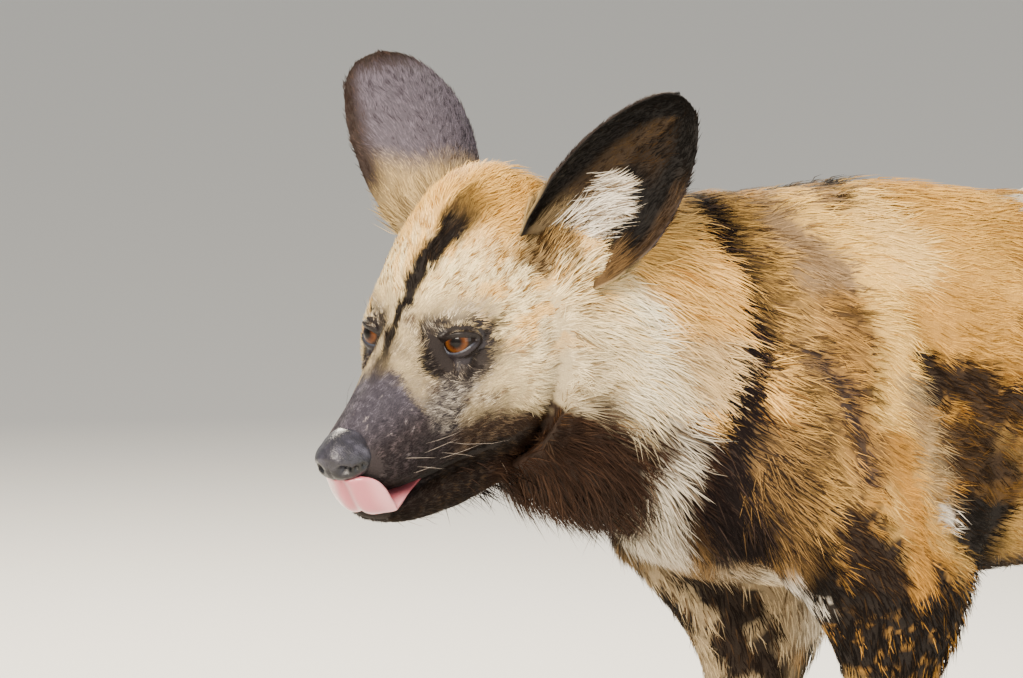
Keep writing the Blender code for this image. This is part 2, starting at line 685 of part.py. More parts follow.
def lock(root, outwards, along, length, width, thick, lift, sag=0.0):
    """A flat tapered lock that leaves the surface at a low angle, bends along the lie and ends in a point."""
    outwards = unit(outwards)
    along = unit(np.asarray(along) - outwards * (np.asarray(along) @ outwards))
    side = np.cross(outwards, along)
    t = np.array([0.0, 0.36, 0.72, 1.0])[:, None]
    path = (
        root
        - outwards * thick * 0.9
        + along * length * (t - 0.06)
        + outwards * (lift + thick) * np.sin(t * 1.9) / math.sin(1.9)
        - np.array([0, 0, 1.0]) * sag * t**2
    )
    wide = width / 2 * np.array([0.85, 1.0, 0.62, 0.04])[:, None]
    deep = thick / 2 * np.array([1.0, 1.0, 0.75, 0.12])[:, None]
    offsets = [wide * side, deep * outwards, -wide * side, -deep * outwards]
    rings = np.stack([path + offset for offset in offsets], axis=1)
    return loft("lock", rings)


def surface_of(stations, power=2.0):
    """Places, outward directions and directions towards the path's start, over a spine form."""
    rings = spine_rings(stations, 72, 61, power)
    along = unit(np.gradient(rings, axis=0))
    around = np.roll(rings, -1, axis=1) - np.roll(rings, 1, axis=1)
    outwards = unit(np.cross(around, along))
    middle = rings.mean(axis=1, keepdims=True)
    outwards *= np.sign(np.sum(outwards * (rings - middle), axis=-1, keepdims=True))
    return rings, outwards, -along


def ring_locks(stations, rows, seed, style, power=2.0, backwards=True):
    """Staggered rings of locks over a spine form; the style gives each lock's sizes from its direction."""
    random = np.random.default_rng(seed)
    rings, outwards, lie = surface_of(stations, power)
    if not backwards:
        lie = -lie
    made = []
    for number, (share, count, size, lowest) in enumerate(rows):
        for k in range(count):
            turn = (k + 0.5 * (number % 2) + random.uniform(-0.18, 0.18)) / count
            i = int(np.clip((share + random.uniform(-0.025, 0.025)) * 60, 0, 60))
            j = int(turn * 72) % 72
            if outwards[i, j, 2] >= lowest:
                made.append(style(rings[i, j], outwards[i, j], lie[i, j], size, random))
    return made


def ruff_lock(root, outwards, lie, size, random):
    """Neck fur: short and flat on top, longer on the sides and longest below."""
    below = float(np.clip(-outwards[2], 0, 1))
    above = float(np.clip(outwards[2], 0, 1))
    length = (0.076 - 0.020 * above + 0.006 * below) * size * random.uniform(0.88, 1.12)
    lift = (0.011 - 0.004 * above + 0.012 * below) * random.uniform(0.85, 1.15)
    along = lie + np.array([0, 0, -0.40 * (1 - above) * (1 - below)]) + random.uniform(-0.12, 0.12, 3)
    return lock(root, outwards, along, length, 0.036 * size, 0.010, lift, 0.006 * (1 - above))


def beard_lock(x, y, length):
    """Throat fur that grows from the underside of the neck and hangs down and back."""
    rings, outwards, _ = surface_of(NECK, 2.15)
    away = np.hypot(rings[..., 0] - x, rings[..., 1] - y) + (outwards[..., 2] > -0.25)
    i, j = np.unravel_index(np.argmin(away), away.shape)
    return lock(rings[i, j], outwards[i, j], [1.0, 0.0, -0.45], length, 0.034, 0.010, 0.017, 0.006)


def brush_lock(root, outwards, lie, size, random):
    """Tail fur that stands a little off the tail and hangs down."""
    along = lie + random.uniform(-0.08, 0.08, 3)
    return lock(root, outwards, along, 0.075 * size * random.uniform(0.9, 1.1), 0.028, 0.009, 0.013, 0.0)


def hackle_locks(seed):
    """Upright-lying fur over the withers."""
    random = np.random.default_rng(seed)
    made = []
    for number, x in enumerate(np.linspace(-0.190, -0.060, 6)):
        for y in (-0.020, 0.020) if number % 2 else (0.0,):
            z = back_height(x) - 0.003 - abs(y) * 0.12
            root = np.array([x + random.uniform(-0.004, 0.004), y + random.uniform(-0.003, 0.003), z])
            out = np.array([0.0, y * 4.0, 1.0])
            made.append(lock(root, out, [1.0, y * 3, 0.0], 0.066, 0.030, 0.009, 0.005, 0.003))
    return made


def back_height(x):
    """Height of the back above the floor."""
    rows = np.asarray(TRUNK, float)
    return float(smooth(rows[:, 0], rows[:, 2] + rows[:, 4], x)[0])


def fuse(made, locks):
    """Joins locks to the form they grow from."""
    combine(made, locks, "UNION", "MANIFOLD")
    drop(locks)
    return made


def make_all():
    """Every part of the dog, by name."""
    made = make_head()
    made["ear_left"] = make_ear("ear_left", EAR_LEFT)
    made["ear_right"] = make_ear("ear_right", EAR_RIGHT)
    torso = made["torso"] = loft("torso", spine_rings(TRUNK, 22, 13, 2.2))
    neck = made["neck"] = loft("neck", spine_rings(NECK, 22, 10, 2.15))
    tail = made["tail"] = loft("tail", spine_rings(TAIL, 10, 11))
    for name, rows, side, pose, size in (
        ("foreleg_left", FORELEG, -1, FORE_LEFT, 1.0),
        ("foreleg_right", FORELEG, 1, FORE_RIGHT, 1.0),
        ("hindleg_left", HINDLEG, -1, HIND_LEFT, 0.94),
        ("hindleg_right", HINDLEG, 1, HIND_RIGHT, 0.94),
    ):
        made[name] = loft(name, leg_rings(rows, side, 12, 18, pose))
        paw_name = name.replace("leg", "paw")
        made[paw_name], claws = make_paw(paw_name, rows, side, pose, size)
        made.update({c.name: c for c in claws})
    legs = [made[n] for n in ("foreleg_left", "foreleg_right", "hindleg_left", "hindleg_right")]
    behind = half_space(*NECK_PLANE, offset=-GAP / 2)
    ahead = half_space(NECK_PLANE[0], [-v for v in NECK_PLANE[1]], offset=-GAP / 2)
    combine(neck, [behind])
    combine(torso, [ahead])
    drop([behind, ahead])
    cut_by(torso, legs)
    for ear in ("ear_left", "ear_right"):
        cut_by(made[ear], [made["head"], neck])
    smooth_torso = grown(torso)
    fuse(torso, hackle_locks(5))
    beard = [beard_lock(*row) for row in BEARD]
    fuse(neck, ring_locks(NECK, RUFF, 3, ruff_lock, 2.15) + beard)
    cutters = [smooth_torso] + [grown(made[n]) for n in ("head", "jaw", "ear_left", "ear_right")]
    cutters += [grown(leg) for leg in legs[:2]]
    combine(neck, cutters)
    drop(cutters)
    fuse(tail, ring_locks(TAIL, BRUSH, 4, brush_lock, backwards=False))
    cut_by(tail, [torso])
    return made


# Colour and roughness of each part's coat or skin
SURFACES = {
    "head": ("#a88f6c", 0.85),
    "jaw": ("#3b2f2a", 0.75),
    "nose": ("#2b2a2e", 0.40),
    "tongue": ("#c98c90", 0.35),
    "eye": ("#7a4b22", 0.10),
    "ear_left": ("#4c3e34", 0.85),
    "ear_right": ("#5b5050", 0.80),
    "neck": ("#ab8757", 0.90),
    "torso": ("#7d6545", 0.90),
    "foreleg": ("#4b3c2f", 0.88),
    "hindleg": ("#5c4a35", 0.88),
    "forepaw": ("#8f7c62", 0.85),
    "hindpaw": ("#86745b", 0.85),
    "foreclaw": ("#2c2624", 0.45),
    "hindclaw": ("#2c2624", 0.45),
    "tail": ("#d6cbb5", 0.90),
}


def linear(code):
    """A colour code as linear red, green and blue."""
    parts = [int(code[i : i + 2], 16) / 255 for i in (1, 3, 5)]
    return [p / 12.92 if p <= 0.04045 else ((p + 0.055) / 1.055) ** 2.4 for p in parts]


def colour_parts(made):
    """Gives every part a material of its own."""
    for name, part in made.items():
        key = name if name in SURFACES else name.split("_")[0]
        code, roughness = SURFACES[key]
        material = bpy.data.materials.new(name)
        material.use_nodes = True
        shader = material.node_tree.nodes["Principled BSDF"]
        shader.inputs["Base Color"].default_value = (*linear(code), 1.0)
        shader.inputs["Roughness"].default_value = roughness
        shader.inputs["Metallic"].default_value = 0.0
        part.data.materials.clear()
        part.data.materials.append(material)
        for face in part.data.polygons:
            face.material_index = 0


def settle(made):
    """Moves the whole dog so that the middle of its footprint is the origin and its soles are at z = 0."""
    points = np.array([v.co[:] for part in made.values() for v in part.data.vertices])
    low, high = points.min(axis=0), points.max(axis=0)
    move = Matrix.Translation((-(low[0] + high[0]) / 2, -(low[1] + high[1]) / 2, -low[2]))
    for part in made.values():
        part.data.transform(move)


clear_scene()
PARTS = make_all()
colour_parts(PARTS)
settle(PARTS)
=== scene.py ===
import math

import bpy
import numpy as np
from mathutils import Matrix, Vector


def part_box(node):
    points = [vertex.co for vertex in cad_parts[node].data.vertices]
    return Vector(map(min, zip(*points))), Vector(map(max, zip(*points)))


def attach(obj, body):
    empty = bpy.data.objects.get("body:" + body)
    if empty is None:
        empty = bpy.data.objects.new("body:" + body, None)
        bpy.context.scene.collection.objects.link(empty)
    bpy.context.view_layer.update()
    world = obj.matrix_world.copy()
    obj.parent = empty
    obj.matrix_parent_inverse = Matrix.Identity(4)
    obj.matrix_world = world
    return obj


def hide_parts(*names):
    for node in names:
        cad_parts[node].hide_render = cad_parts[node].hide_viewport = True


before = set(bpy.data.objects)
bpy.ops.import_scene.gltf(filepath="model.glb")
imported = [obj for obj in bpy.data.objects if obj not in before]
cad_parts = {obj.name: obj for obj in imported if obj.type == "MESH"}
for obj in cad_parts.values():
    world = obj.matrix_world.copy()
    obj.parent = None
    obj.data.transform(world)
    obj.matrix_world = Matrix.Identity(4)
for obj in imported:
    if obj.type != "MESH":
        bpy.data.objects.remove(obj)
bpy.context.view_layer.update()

# The looks of a standing African wild dog: one fused skin, a coat of solid tufts that follows the lie
# of the hair, eyes, nose, tongue, claws and whiskers. Lengths are metres. Shapes are worked out where
# the part's own tables put them and are moved by SHIFT into the frame.

# Place and turn of the head: the point midway between the pupils, then degrees
HEAD_AT = np.array([-0.471, -0.036, 0.604])
HEAD_TURN_LEFT = 28.0
HEAD_NOD_DOWN = 25.0
HEAD_ROLL = 2.0

# Sizes of the surface
BODY_VOXEL = 0.0040
HEAD_VOXEL = 0.0016
COAT_SHARE = 1.0  # share of the tufts that are made
TUFT_PATCH = 0.003  # side of each tuft's place on the coat's own map


def smooth(xs, ys, x):
    """Monotone cubic curve through rows (xs, ys), read at x: Hermite pieces whose slopes are the
    harmonic mean of the two neighbouring slopes, so the curve never swings past its own points."""
    xs, ys = np.asarray(xs, float), np.asarray(ys, float)
    flat = ys.ndim == 1
    ys = ys.reshape(len(xs), -1)
    step = np.diff(xs)[:, None]
    slope = np.diff(ys, axis=0) / step
    both = slope[:-1] * slope[1:]
    mean = np.where(both > 0, 2 * both / np.where(both > 0, slope[:-1] + slope[1:], 1), 0)
    tangent = np.vstack([slope[:1], mean, slope[-1:]])
    x = np.clip(np.atleast_1d(np.asarray(x, float)), xs[0], xs[-1])
    i = np.clip(np.searchsorted(xs, x, side="right") - 1, 0, len(xs) - 2)
    t = ((x - xs[i])[:, None]) / step[i]
    value = (
        (2 * t**3 - 3 * t**2 + 1) * ys[i]
        + (t**3 - 2 * t**2 + t) * step[i] * tangent[i]
        + (3 * t**2 - 2 * t**3) * ys[i + 1]
        + (t**3 - t**2) * step[i] * tangent[i + 1]
    )
    return value[:, 0] if flat else value


def unit(v):
    """Vectors at length one."""
    v = np.asarray(v, float)
    return v / np.maximum(np.linalg.norm(v, axis=-1, keepdims=True), 1e-12)


def ramp(x, low, high):
    """0 below low, 1 above high, and the smooth step 3t^2 - 2t^3 between."""
    t = np.clip((np.asarray(x, float) - low) / (high - low), 0, 1)
    return t * t * (3 - 2 * t)


def bump_at(x, middle, reach):
    """Bell curve exp(-((x - middle) / reach)^2)."""
    return np.exp(-(((x - middle) / reach) ** 2))


def waves(points, length, seed, count=9):
    """Smooth random field of about -1 to 1: a sum of sines that run in seeded directions, with
    wavelengths from 0.6 to 1.7 of the length given."""
    random = np.random.default_rng(seed)
    total = np.zeros(len(points))
    for _ in range(count):
        run = unit(random.normal(size=3)) * 2 * math.pi / (length * random.uniform(0.6, 1.7))
        total += np.sin(points @ run + random.uniform(0, 2 * math.pi))
    return total / math.sqrt(count / 2) * 0.7


def head_axes():
    """Forward, left and up of the head, as rows."""
    turn, nod, roll = (math.radians(a) for a in (HEAD_TURN_LEFT, HEAD_NOD_DOWN, HEAD_ROLL))
    ahead = np.array([-math.cos(turn) * math.cos(nod), -math.sin(turn) * math.cos(nod), -math.sin(nod)])
    left = np.array([math.sin(turn), -math.cos(turn), 0.0])
    up = np.cross(ahead, left)
    leaned_left = math.cos(roll) * left - math.sin(roll) * up
    leaned_up = math.sin(roll) * left + math.cos(roll) * up
    return np.array([ahead, leaned_left, leaned_up])


HEAD_AXES = head_axes()


def from_head(points):
    """Ahead, left and up of the head, turned into the tables' frame."""
    return HEAD_AT + np.asarray(points, float) @ HEAD_AXES


def to_head(points):
    """Places in the tables' frame as ahead, left and up of the head."""
    return (np.asarray(points, float) - HEAD_AT) @ HEAD_AXES.T


EYE_RADIUS = 0.0120
EYE_CENTRE = (-0.0055, 0.0292, -0.0044)
EYE_BOX = np.array([list(corner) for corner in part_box("eye_left")])
SHIFT = EYE_BOX.mean(axis=0) - from_head(EYE_CENTRE)

# Rows down the head: ahead, half width, top, widest height, bottom, narrowing of the top
SKULL = [
    (-0.140, 0.036, 0.030, -0.030, -0.070, 0.0),
    (-0.130, 0.054, 0.052, -0.032, -0.090, 0.08),
    (-0.112, 0.066, 0.064, -0.034, -0.102, 0.15),
    (-0.090, 0.072, 0.067, -0.036, -0.108, 0.22),
    (-0.060, 0.073, 0.063, -0.038, -0.110, 0.28),
    (-0.030, 0.067, 0.048, -0.042, -0.108, 0.30),
    (-0.010, 0.057, 0.032, -0.044, -0.102, 0.28),
    (0.005, 0.049, 0.020, -0.043, -0.094, 0.26),
    (0.020, 0.0420, 0.0100, -0.042, -0.0865, 0.28),
    (0.035, 0.0365, 0.0020, -0.042, -0.0825, 0.36),
    (0.053, 0.0320, -0.0040, -0.041, -0.0780, 0.44),
    (0.071, 0.0285, -0.0082, -0.040, -0.0705, 0.52),
    (0.087, 0.0245, -0.0125, -0.038, -0.0600, 0.58),
    (0.098, 0.0180, -0.0165, -0.036, -0.0510, 0.45),
    (0.104, 0.0100, -0.0200, -0.034, -0.0440, 0.10),
]
# Dents and swellings of the left side of the face: middle, reach and push
FACE_FORMS = [
    ((0.014, 0.044, -0.006), 0.018, (0.000, -0.007, 0.000)),
    ((0.006, 0.027, -0.004), 0.011, (0.000, -0.003, -0.003)),
    ((-0.012, 0.034, 0.020), 0.014, (0.002, 0.002, 0.004)),
    ((-0.035, 0.066, -0.030), 0.026, (0.000, 0.005, 0.000)),
    ((0.080, 0.028, -0.046), 0.018, (0.000, 0.003, -0.001)),
    ((-0.070, 0.000, 0.060), 0.030, (0.000, 0.000, 0.003)),
]
NOSE = [
    (0.086, 0.0120, -0.0155, -0.027, -0.0340, 0.10),
    (0.091, 0.0165, -0.0145, -0.030, -0.0385, 0.30),
    (0.095, 0.0185, -0.0140, -0.031, -0.0410, 0.42),
    (0.101, 0.0185, -0.0145, -0.032, -0.0425, 0.50),
    (0.1075, 0.0152, -0.0165, -0.031, -0.0415, 0.40),
    (0.1120, 0.0115, -0.0190, -0.0295, -0.0385, 0.20),
    (0.1150, 0.0065, -0.0220, -0.0275, -0.0335, 0.0),
    (0.1158, 0.0020, -0.0255, -0.0275, -0.0295, 0.0),
]
JAW = [
    (-0.045, 0.028, -0.088, -0.100, -0.113, 0.0),
    (-0.010, 0.034, -0.083, -0.099, -0.115, 0.0),
    (0.020, 0.0315, -0.078, -0.094, -0.111, 0.0),
    (0.044, 0.0275, -0.0745, -0.089, -0.104, 0.0),
    (0.062, 0.0240, -0.0720, -0.085, -0.0975, 0.0),
    (0.076, 0.0205, -0.0700, -0.081, -0.0905, 0.0),
    (0.085, 0.0155, -0.0695, -0.078, -0.0845, 0.0),
    (0.0895, 0.0070, -0.0720, -0.0765, -0.0800, 0.0),
]
# Tongue from inside the mouth, over the lower lip and up to the nose: ahead, up and half width
TONGUE = [
    (0.046, -0.0710, 0.0150),
    (0.070, -0.0705, 0.0175),
    (0.083, -0.0710, 0.0195),
    (0.0930, -0.0705, 0.0210),
    (0.1000, -0.0655, 0.0215),
    (0.1035, -0.0570, 0.0215),
    (0.1055, -0.0480, 0.0200),
    (0.1072, -0.0418, 0.0165),
    (0.1076, -0.0398, 0.0120),
]
TONGUE_THICKNESS = 0.0048
# Half width of the ear's sheet laid flat and how far round it rolls, from its root to its tip
EAR_SHEET = [
    (0.00, 0.0520, 100),
    (0.12, 0.0560, 92),
    (0.28, 0.0560, 82),
    (0.45, 0.0520, 72),
    (0.62, 0.0455, 62),
    (0.78, 0.0360, 52),
    (0.90, 0.0260, 44),
    (0.97, 0.0160, 38),
    (1.00, 0.0070, 36),
]
# Root, tip direction and the way each ear opens, as ahead, left and up, then its length, the degrees by
# which it turns about itself towards its tip, and how much flatter and how much broader it is there
EAR_LEFT = ((-0.098, 0.058, 0.012), (-0.41, 0.57, 0.71), (0.874, 0.387, 0.294), 0.124, 38.0, 0.0, 0.0)
EAR_RIGHT = ((-0.108, -0.027, 0.024), (-0.50, -0.64, 0.60), (-0.05, -0.66, -0.74), 0.128, 0.0, 0.45, 0.34)
# Rows along the trunk, neck and tail: x, y, z, half width, height above and depth below
TRUNK = [
    (-0.300, 0, 0.565, 0.045, 0.080, 0.085),
    (-0.275, 0, 0.560, 0.072, 0.112, 0.110),
    (-0.220, 0, 0.553, 0.088, 0.132, 0.128),
    (-0.140, 0, 0.550, 0.096, 0.138, 0.133),
    (-0.050, 0, 0.550, 0.101, 0.130, 0.129),
    (0.050, 0, 0.553, 0.100, 0.123, 0.127),
    (0.150, 0, 0.562, 0.092, 0.110, 0.112),
    (0.240, 0, 0.572, 0.082, 0.097, 0.100),
    (0.320, 0, 0.575, 0.078, 0.084, 0.098),
    (0.380, 0, 0.573, 0.062, 0.064, 0.085),
    (0.405, 0, 0.572, 0.030, 0.035, 0.045),
]
NECK = [
    (-0.180, 0.000, 0.555, 0.084, 0.129, 0.106),
    (-0.225, 0.000, 0.560, 0.083, 0.126, 0.106),
    (-0.285, -0.002, 0.575, 0.080, 0.113, 0.108),
    (-0.335, -0.007, 0.593, 0.077, 0.099, 0.110),
    (-0.370, -0.014, 0.604, 0.073, 0.086, 0.102),
    (-0.395, -0.019, 0.608, 0.063, 0.068, 0.086),
    (-0.412, -0.024, 0.608, 0.044, 0.046, 0.060),
    (-0.420, -0.028, 0.608, 0.018, 0.018, 0.026),
]
TAIL = [
    (0.380, 0, 0.604, 0.019, 0.018, 0.018),
    (0.415, 0, 0.598, 0.018, 0.017, 0.018),
    (0.447, 0, 0.565, 0.018, 0.019, 0.019),
    (0.468, 0, 0.500, 0.019, 0.020, 0.020),
    (0.480, 0, 0.420, 0.020, 0.021, 0.021),
    (0.487, 0, 0.340, 0.019, 0.020, 0.020),
    (0.492, 0, 0.280, 0.012, 0.013, 0.013),
    (0.494, 0, 0.262, 0.004, 0.004, 0.004),
]
# Leg outlines seen from the side: height, front edge, back edge, middle and half width across
FORELEG = [
    (0.650, -0.195, -0.140, 0.045, 0.012),
    (0.610, -0.232, -0.112, 0.062, 0.026),
    (0.560, -0.254, -0.088, 0.072, 0.036),
    (0.510, -0.264, -0.076, 0.076, 0.042),
    (0.480, -0.262, -0.076, 0.077, 0.043),
    (0.452, -0.243, -0.081, 0.076, 0.041),
    (0.424, -0.214, -0.089, 0.075, 0.037),
    (0.400, -0.195, -0.096, 0.074, 0.033),
    (0.373, -0.182, -0.110, 0.073, 0.029),
    (0.330, -0.174, -0.118, 0.071, 0.0245),
    (0.260, -0.168, -0.126, 0.070, 0.0190),
    (0.205, -0.166, -0.128, 0.070, 0.0180),
    (0.170, -0.169, -0.125, 0.070, 0.0195),
    (0.140, -0.165, -0.128, 0.070, 0.0175),
    (0.090, -0.168, -0.136, 0.070, 0.0170),
    (0.045, -0.178, -0.142, 0.070, 0.0185),
]
HINDLEG = [
    (0.625, 0.275, 0.365, 0.045, 0.018),
    (0.580, 0.238, 0.390, 0.060, 0.034),
    (0.530, 0.208, 0.400, 0.067, 0.040),
    (0.480, 0.194, 0.392, 0.069, 0.041),
    (0.430, 0.193, 0.368, 0.070, 0.038),
    (0.390, 0.204, 0.340, 0.071, 0.034),
    (0.340, 0.238, 0.338, 0.072, 0.028),
    (0.290, 0.280, 0.352, 0.072, 0.022),
    (0.240, 0.316, 0.376, 0.073, 0.0180),
    (0.200, 0.343, 0.402, 0.074, 0.0165),
    (0.170, 0.357, 0.404, 0.074, 0.0170),
    (0.130, 0.360, 0.397, 0.074, 0.0155),
    (0.080, 0.354, 0.388, 0.074, 0.0155),
    (0.045, 0.346, 0.384, 0.074, 0.0175),
]
# How each leg stands: height in the table above, then how far back and up it is moved
FORE_LEFT = [(0.65, 0, 0), (0.045, 0, 0)]
FORE_RIGHT = [(0.65, 0, 0), (0.48, -0.012, -0.018), (0.40, -0.016, -0.022), (0.17, -0.048, -0.014), (0.045, -0.062, 0)]
HIND_LEFT = [(0.625, 0, 0), (0.43, 0.004, 0), (0.20, 0.016, -0.004), (0.045, 0.020, 0)]
HIND_RIGHT = [(0.625, 0, 0), (0.43, -0.010, -0.004), (0.20, -0.034, -0.008), (0.045, -0.042, 0)]
LEGS = {
    "foreleg_left": (FORELEG, -1, FORE_LEFT, 1.0),
    "foreleg_right": (FORELEG, 1, FORE_RIGHT, 1.0),
    "hindleg_left": (HINDLEG, -1, HIND_LEFT, 0.94),
    "hindleg_right": (HINDLEG, 1, HIND_RIGHT, 0.94),
}
# Sole of a paw upwards: height, middle, half length and half width, from the leg's own middle
PALM = [
    (0.0447, 0.000, 0.0180, 0.0185),
    (0.0340, -0.004, 0.0235, 0.0225),
    (0.0220, -0.010, 0.0290, 0.0270),
    (0.0100, -0.012, 0.0300, 0.0275),
    (-0.0040, -0.012, 0.0280, 0.0255),
]
# Toe: ahead, up, half width, height above and depth below its path
TOE = [
    (0.012, 0.020, 0.0085, 0.0120, 0.0260),
    (0.034, 0.0215, 0.0100, 0.0125, 0.0270),
    (0.050, 0.0165, 0.0104, 0.0110, 0.0210),
    (0.060, 0.0120, 0.0082, 0.0085, 0.0160),
    (0.0655, 0.0100, 0.0030, 0.0030, 0.0060),
]
TOES = [(-0.0180, -0.0270, 0.86), (-0.0065, -0.0098, 1.0), (0.0065, 0.0098, 1.0), (0.0180, 0.0270, 0.86)]


def oval(angle, half_width, top, bottom, power=2.0):
    """Superellipse section: sideways |cos|^(2/p), upward |sin|^(2/p), with its own height above and below."""
    c, s = np.cos(angle), np.sin(angle)
    across = half_width * np.sign(c) * np.abs(c) ** (2.0 / power)
    height = np.where(s > 0, top, bottom) * np.sign(s) * np.abs(s) ** (2.0 / power)
    return across, height


def spine_grid(stations, around, steps, power=2.0):
    """Superellipse rings carried along a path of x, y, z, half width, height above and depth below."""
    stations = np.asarray(stations, float)
    reach = np.concatenate([[0], np.cumsum(np.linalg.norm(np.diff(stations[:, :3], axis=0), axis=1))])
    t = np.linspace(0, reach[-1], steps)
    path = smooth(reach, stations, t)
    ahead = unit(np.gradient(path[:, :3], t, axis=0))
    left = unit(np.cross([0, 0, 1], ahead))
    up = np.cross(ahead, left)
    angle = np.linspace(0, 2 * math.pi, around, endpoint=False)
    across, height = oval(angle, path[:, 3:4], path[:, 4:5], path[:, 5:6], power)
    return path[:, None, :3] + across[..., None] * left[:, None] + height[..., None] * up[:, None]


def head_grid(rows, around, steps, power):
    """Superellipse rings across the head's length, narrowed towards the top by a share of sin(angle)^1.5."""
    rows = np.asarray(rows, float)
    ahead = np.linspace(rows[0, 0], rows[-1, 0], steps)
    half_width, top, middle, bottom, narrow = smooth(rows[:, 0], rows[:, 1:], ahead).T
    angle = np.linspace(0, 2 * math.pi, around, endpoint=False)
    across, height = oval(angle, half_width[:, None], (top - middle)[:, None], (middle - bottom)[:, None], power)
    across = across * (1 - narrow[:, None] * np.clip(np.sin(angle), 0, 1) ** 1.5)
    ahead = np.broadcast_to(ahead[:, None], across.shape)
    return np.stack([ahead, across, middle[:, None] + height], axis=-1)


def leg_grid(rows, side, around, steps, pose):
    """Level ellipses down a leg, moved back and up by the leg's stance."""
    rows, pose = np.asarray(rows, float)[::-1], np.asarray(pose, float)[::-1]
    reach = np.linspace(0, 1, len(rows))
    z, front, back, middle, half_width = smooth(reach, rows, np.linspace(0, 1, steps)).T
    back_by, up_by = smooth(pose[:, 0], pose[:, 1:], z).T
    angle = np.linspace(0, 2 * math.pi, around, endpoint=False)
    x = ((front + back) / 2 + back_by)[:, None] + (back - front)[:, None] / 2 * np.cos(angle)
    y = side * (middle[:, None] + half_width[:, None] * np.sin(angle))
    return np.stack([x, y, np.broadcast_to((z + up_by)[:, None], x.shape)], axis=-1)


def tube_grid(stations, around):
    """Round rings carried along a path of x, y, z and radius."""
    stations = np.asarray(stations, float)
    ahead = unit(np.gradient(stations[:, :3], axis=0))
    side = unit(np.cross(ahead, [0.31, 0.22, 0.92]))
    up = np.cross(side, ahead)
    angle = np.linspace(0, 2 * math.pi, around, endpoint=False)[:, None]
    return stations[:, None, :3] + stations[:, None, 3:4] * (
        np.cos(angle) * side[:, None] + np.sin(angle) * up[:, None]
    )


def sunk(grid, depth):
    """A tube grid moved inwards by a depth along its normals, the cross product of its two directions."""
    along = np.gradient(grid, axis=0)
    around = np.roll(grid, -1, axis=1) - np.roll(grid, 1, axis=1)
    normal = unit(np.cross(around, along))
    middle = grid.mean(axis=1, keepdims=True)
    normal *= np.sign(np.sum(normal * (grid - middle), axis=-1, keepdims=True))
    return grid - normal * np.asarray(depth)[..., None]


def swell_face(points):
    """Adds each dent or swelling of the face to both sides: its push times exp(-(distance / reach)^2)."""
    for centre, reach, push in FACE_FORMS:
        for side in (1, -1):
            flip = np.array([1, side, 1])
            away = np.linalg.norm(points - np.asarray(centre) * flip, axis=-1, keepdims=True)
            points = points + np.exp(-((away / reach) ** 2)) * np.asarray(push) * flip
    return points


def nose_surface(around, steps):
    """The nose pad: head rings whose points near each nostril's comma of places are drawn in towards the
    middle of the pad by depth * exp(-(distance / radius)^2), with a groove down the middle of the front."""
    points = head_grid(NOSE, around, steps, 2.3)
    core = np.array([0.094, 0.0, -0.029])
    for side in (1, -1):
        for at, radius, depth in NOSTRIL:
            away = np.linalg.norm(points - np.array(at) * [1, side, 1], axis=-1, keepdims=True)
            points = points + unit(core + [0, 0.006 * side, 0] - points) * depth * np.exp(-((away / radius) ** 2))
    groove = 0.0011 * bump_at(points[..., 1:2], 0, 0.0010) * ramp(points[..., :1], 0.104, 0.112)
    groove = groove * (1 - ramp(points[..., 2:], -0.027, -0.022))
    return points - groove * [1, 0, 0]


def tongue_surface(rows_count, columns):
    """The tongue: a path of ahead and up with a half width, two layers set off by half the thickness times
    sqrt(1 - 0.9 across^4), wrapped round the nose by 20 times its width squared, with a groove."""
    rows = np.asarray(TONGUE, float)
    reach = np.concatenate([[0], np.cumsum(np.linalg.norm(np.diff(rows[:, :2], axis=0), axis=1))])
    at = np.linspace(0, reach[-1], rows_count)
    ahead, up, half_width = smooth(reach, rows, at).T
    path = np.stack([ahead, up], axis=-1)
    along = unit(np.gradient(path, at, axis=0))
    across = np.sin(np.linspace(-1, 1, columns) * math.pi / 2)
    wide = across * half_width[:, None]
    out = np.stack([-along[:, 1], along[:, 0]], axis=-1)
    groove = 0.0013 * np.exp(-((across / 0.15) ** 2)) + 0.0004 * np.cos(across * 9) * (1 - across**2)
    thick = TONGUE_THICKNESS / 2 * np.sqrt(np.clip(1 - 0.93 * across**4, 0, 1))
    wrap = 20 * wide**2 * smooth([0, 0.5, 0.7, 1], [0.0, 0.2, 1, 1], at / reach[-1])[:, None]
    layers = []
    for turn in (1, -1):
        offset = turn * thick + (groove if turn < 0 else 0)
        layers.append(
            np.stack(
                [
                    path[:, None, 0] + out[:, None, 0] * offset - wrap,
                    wide + 0.003,
                    path[:, None, 1] + out[:, None, 1] * offset,
                ],
                axis=-1,
            )
        )
    return layers


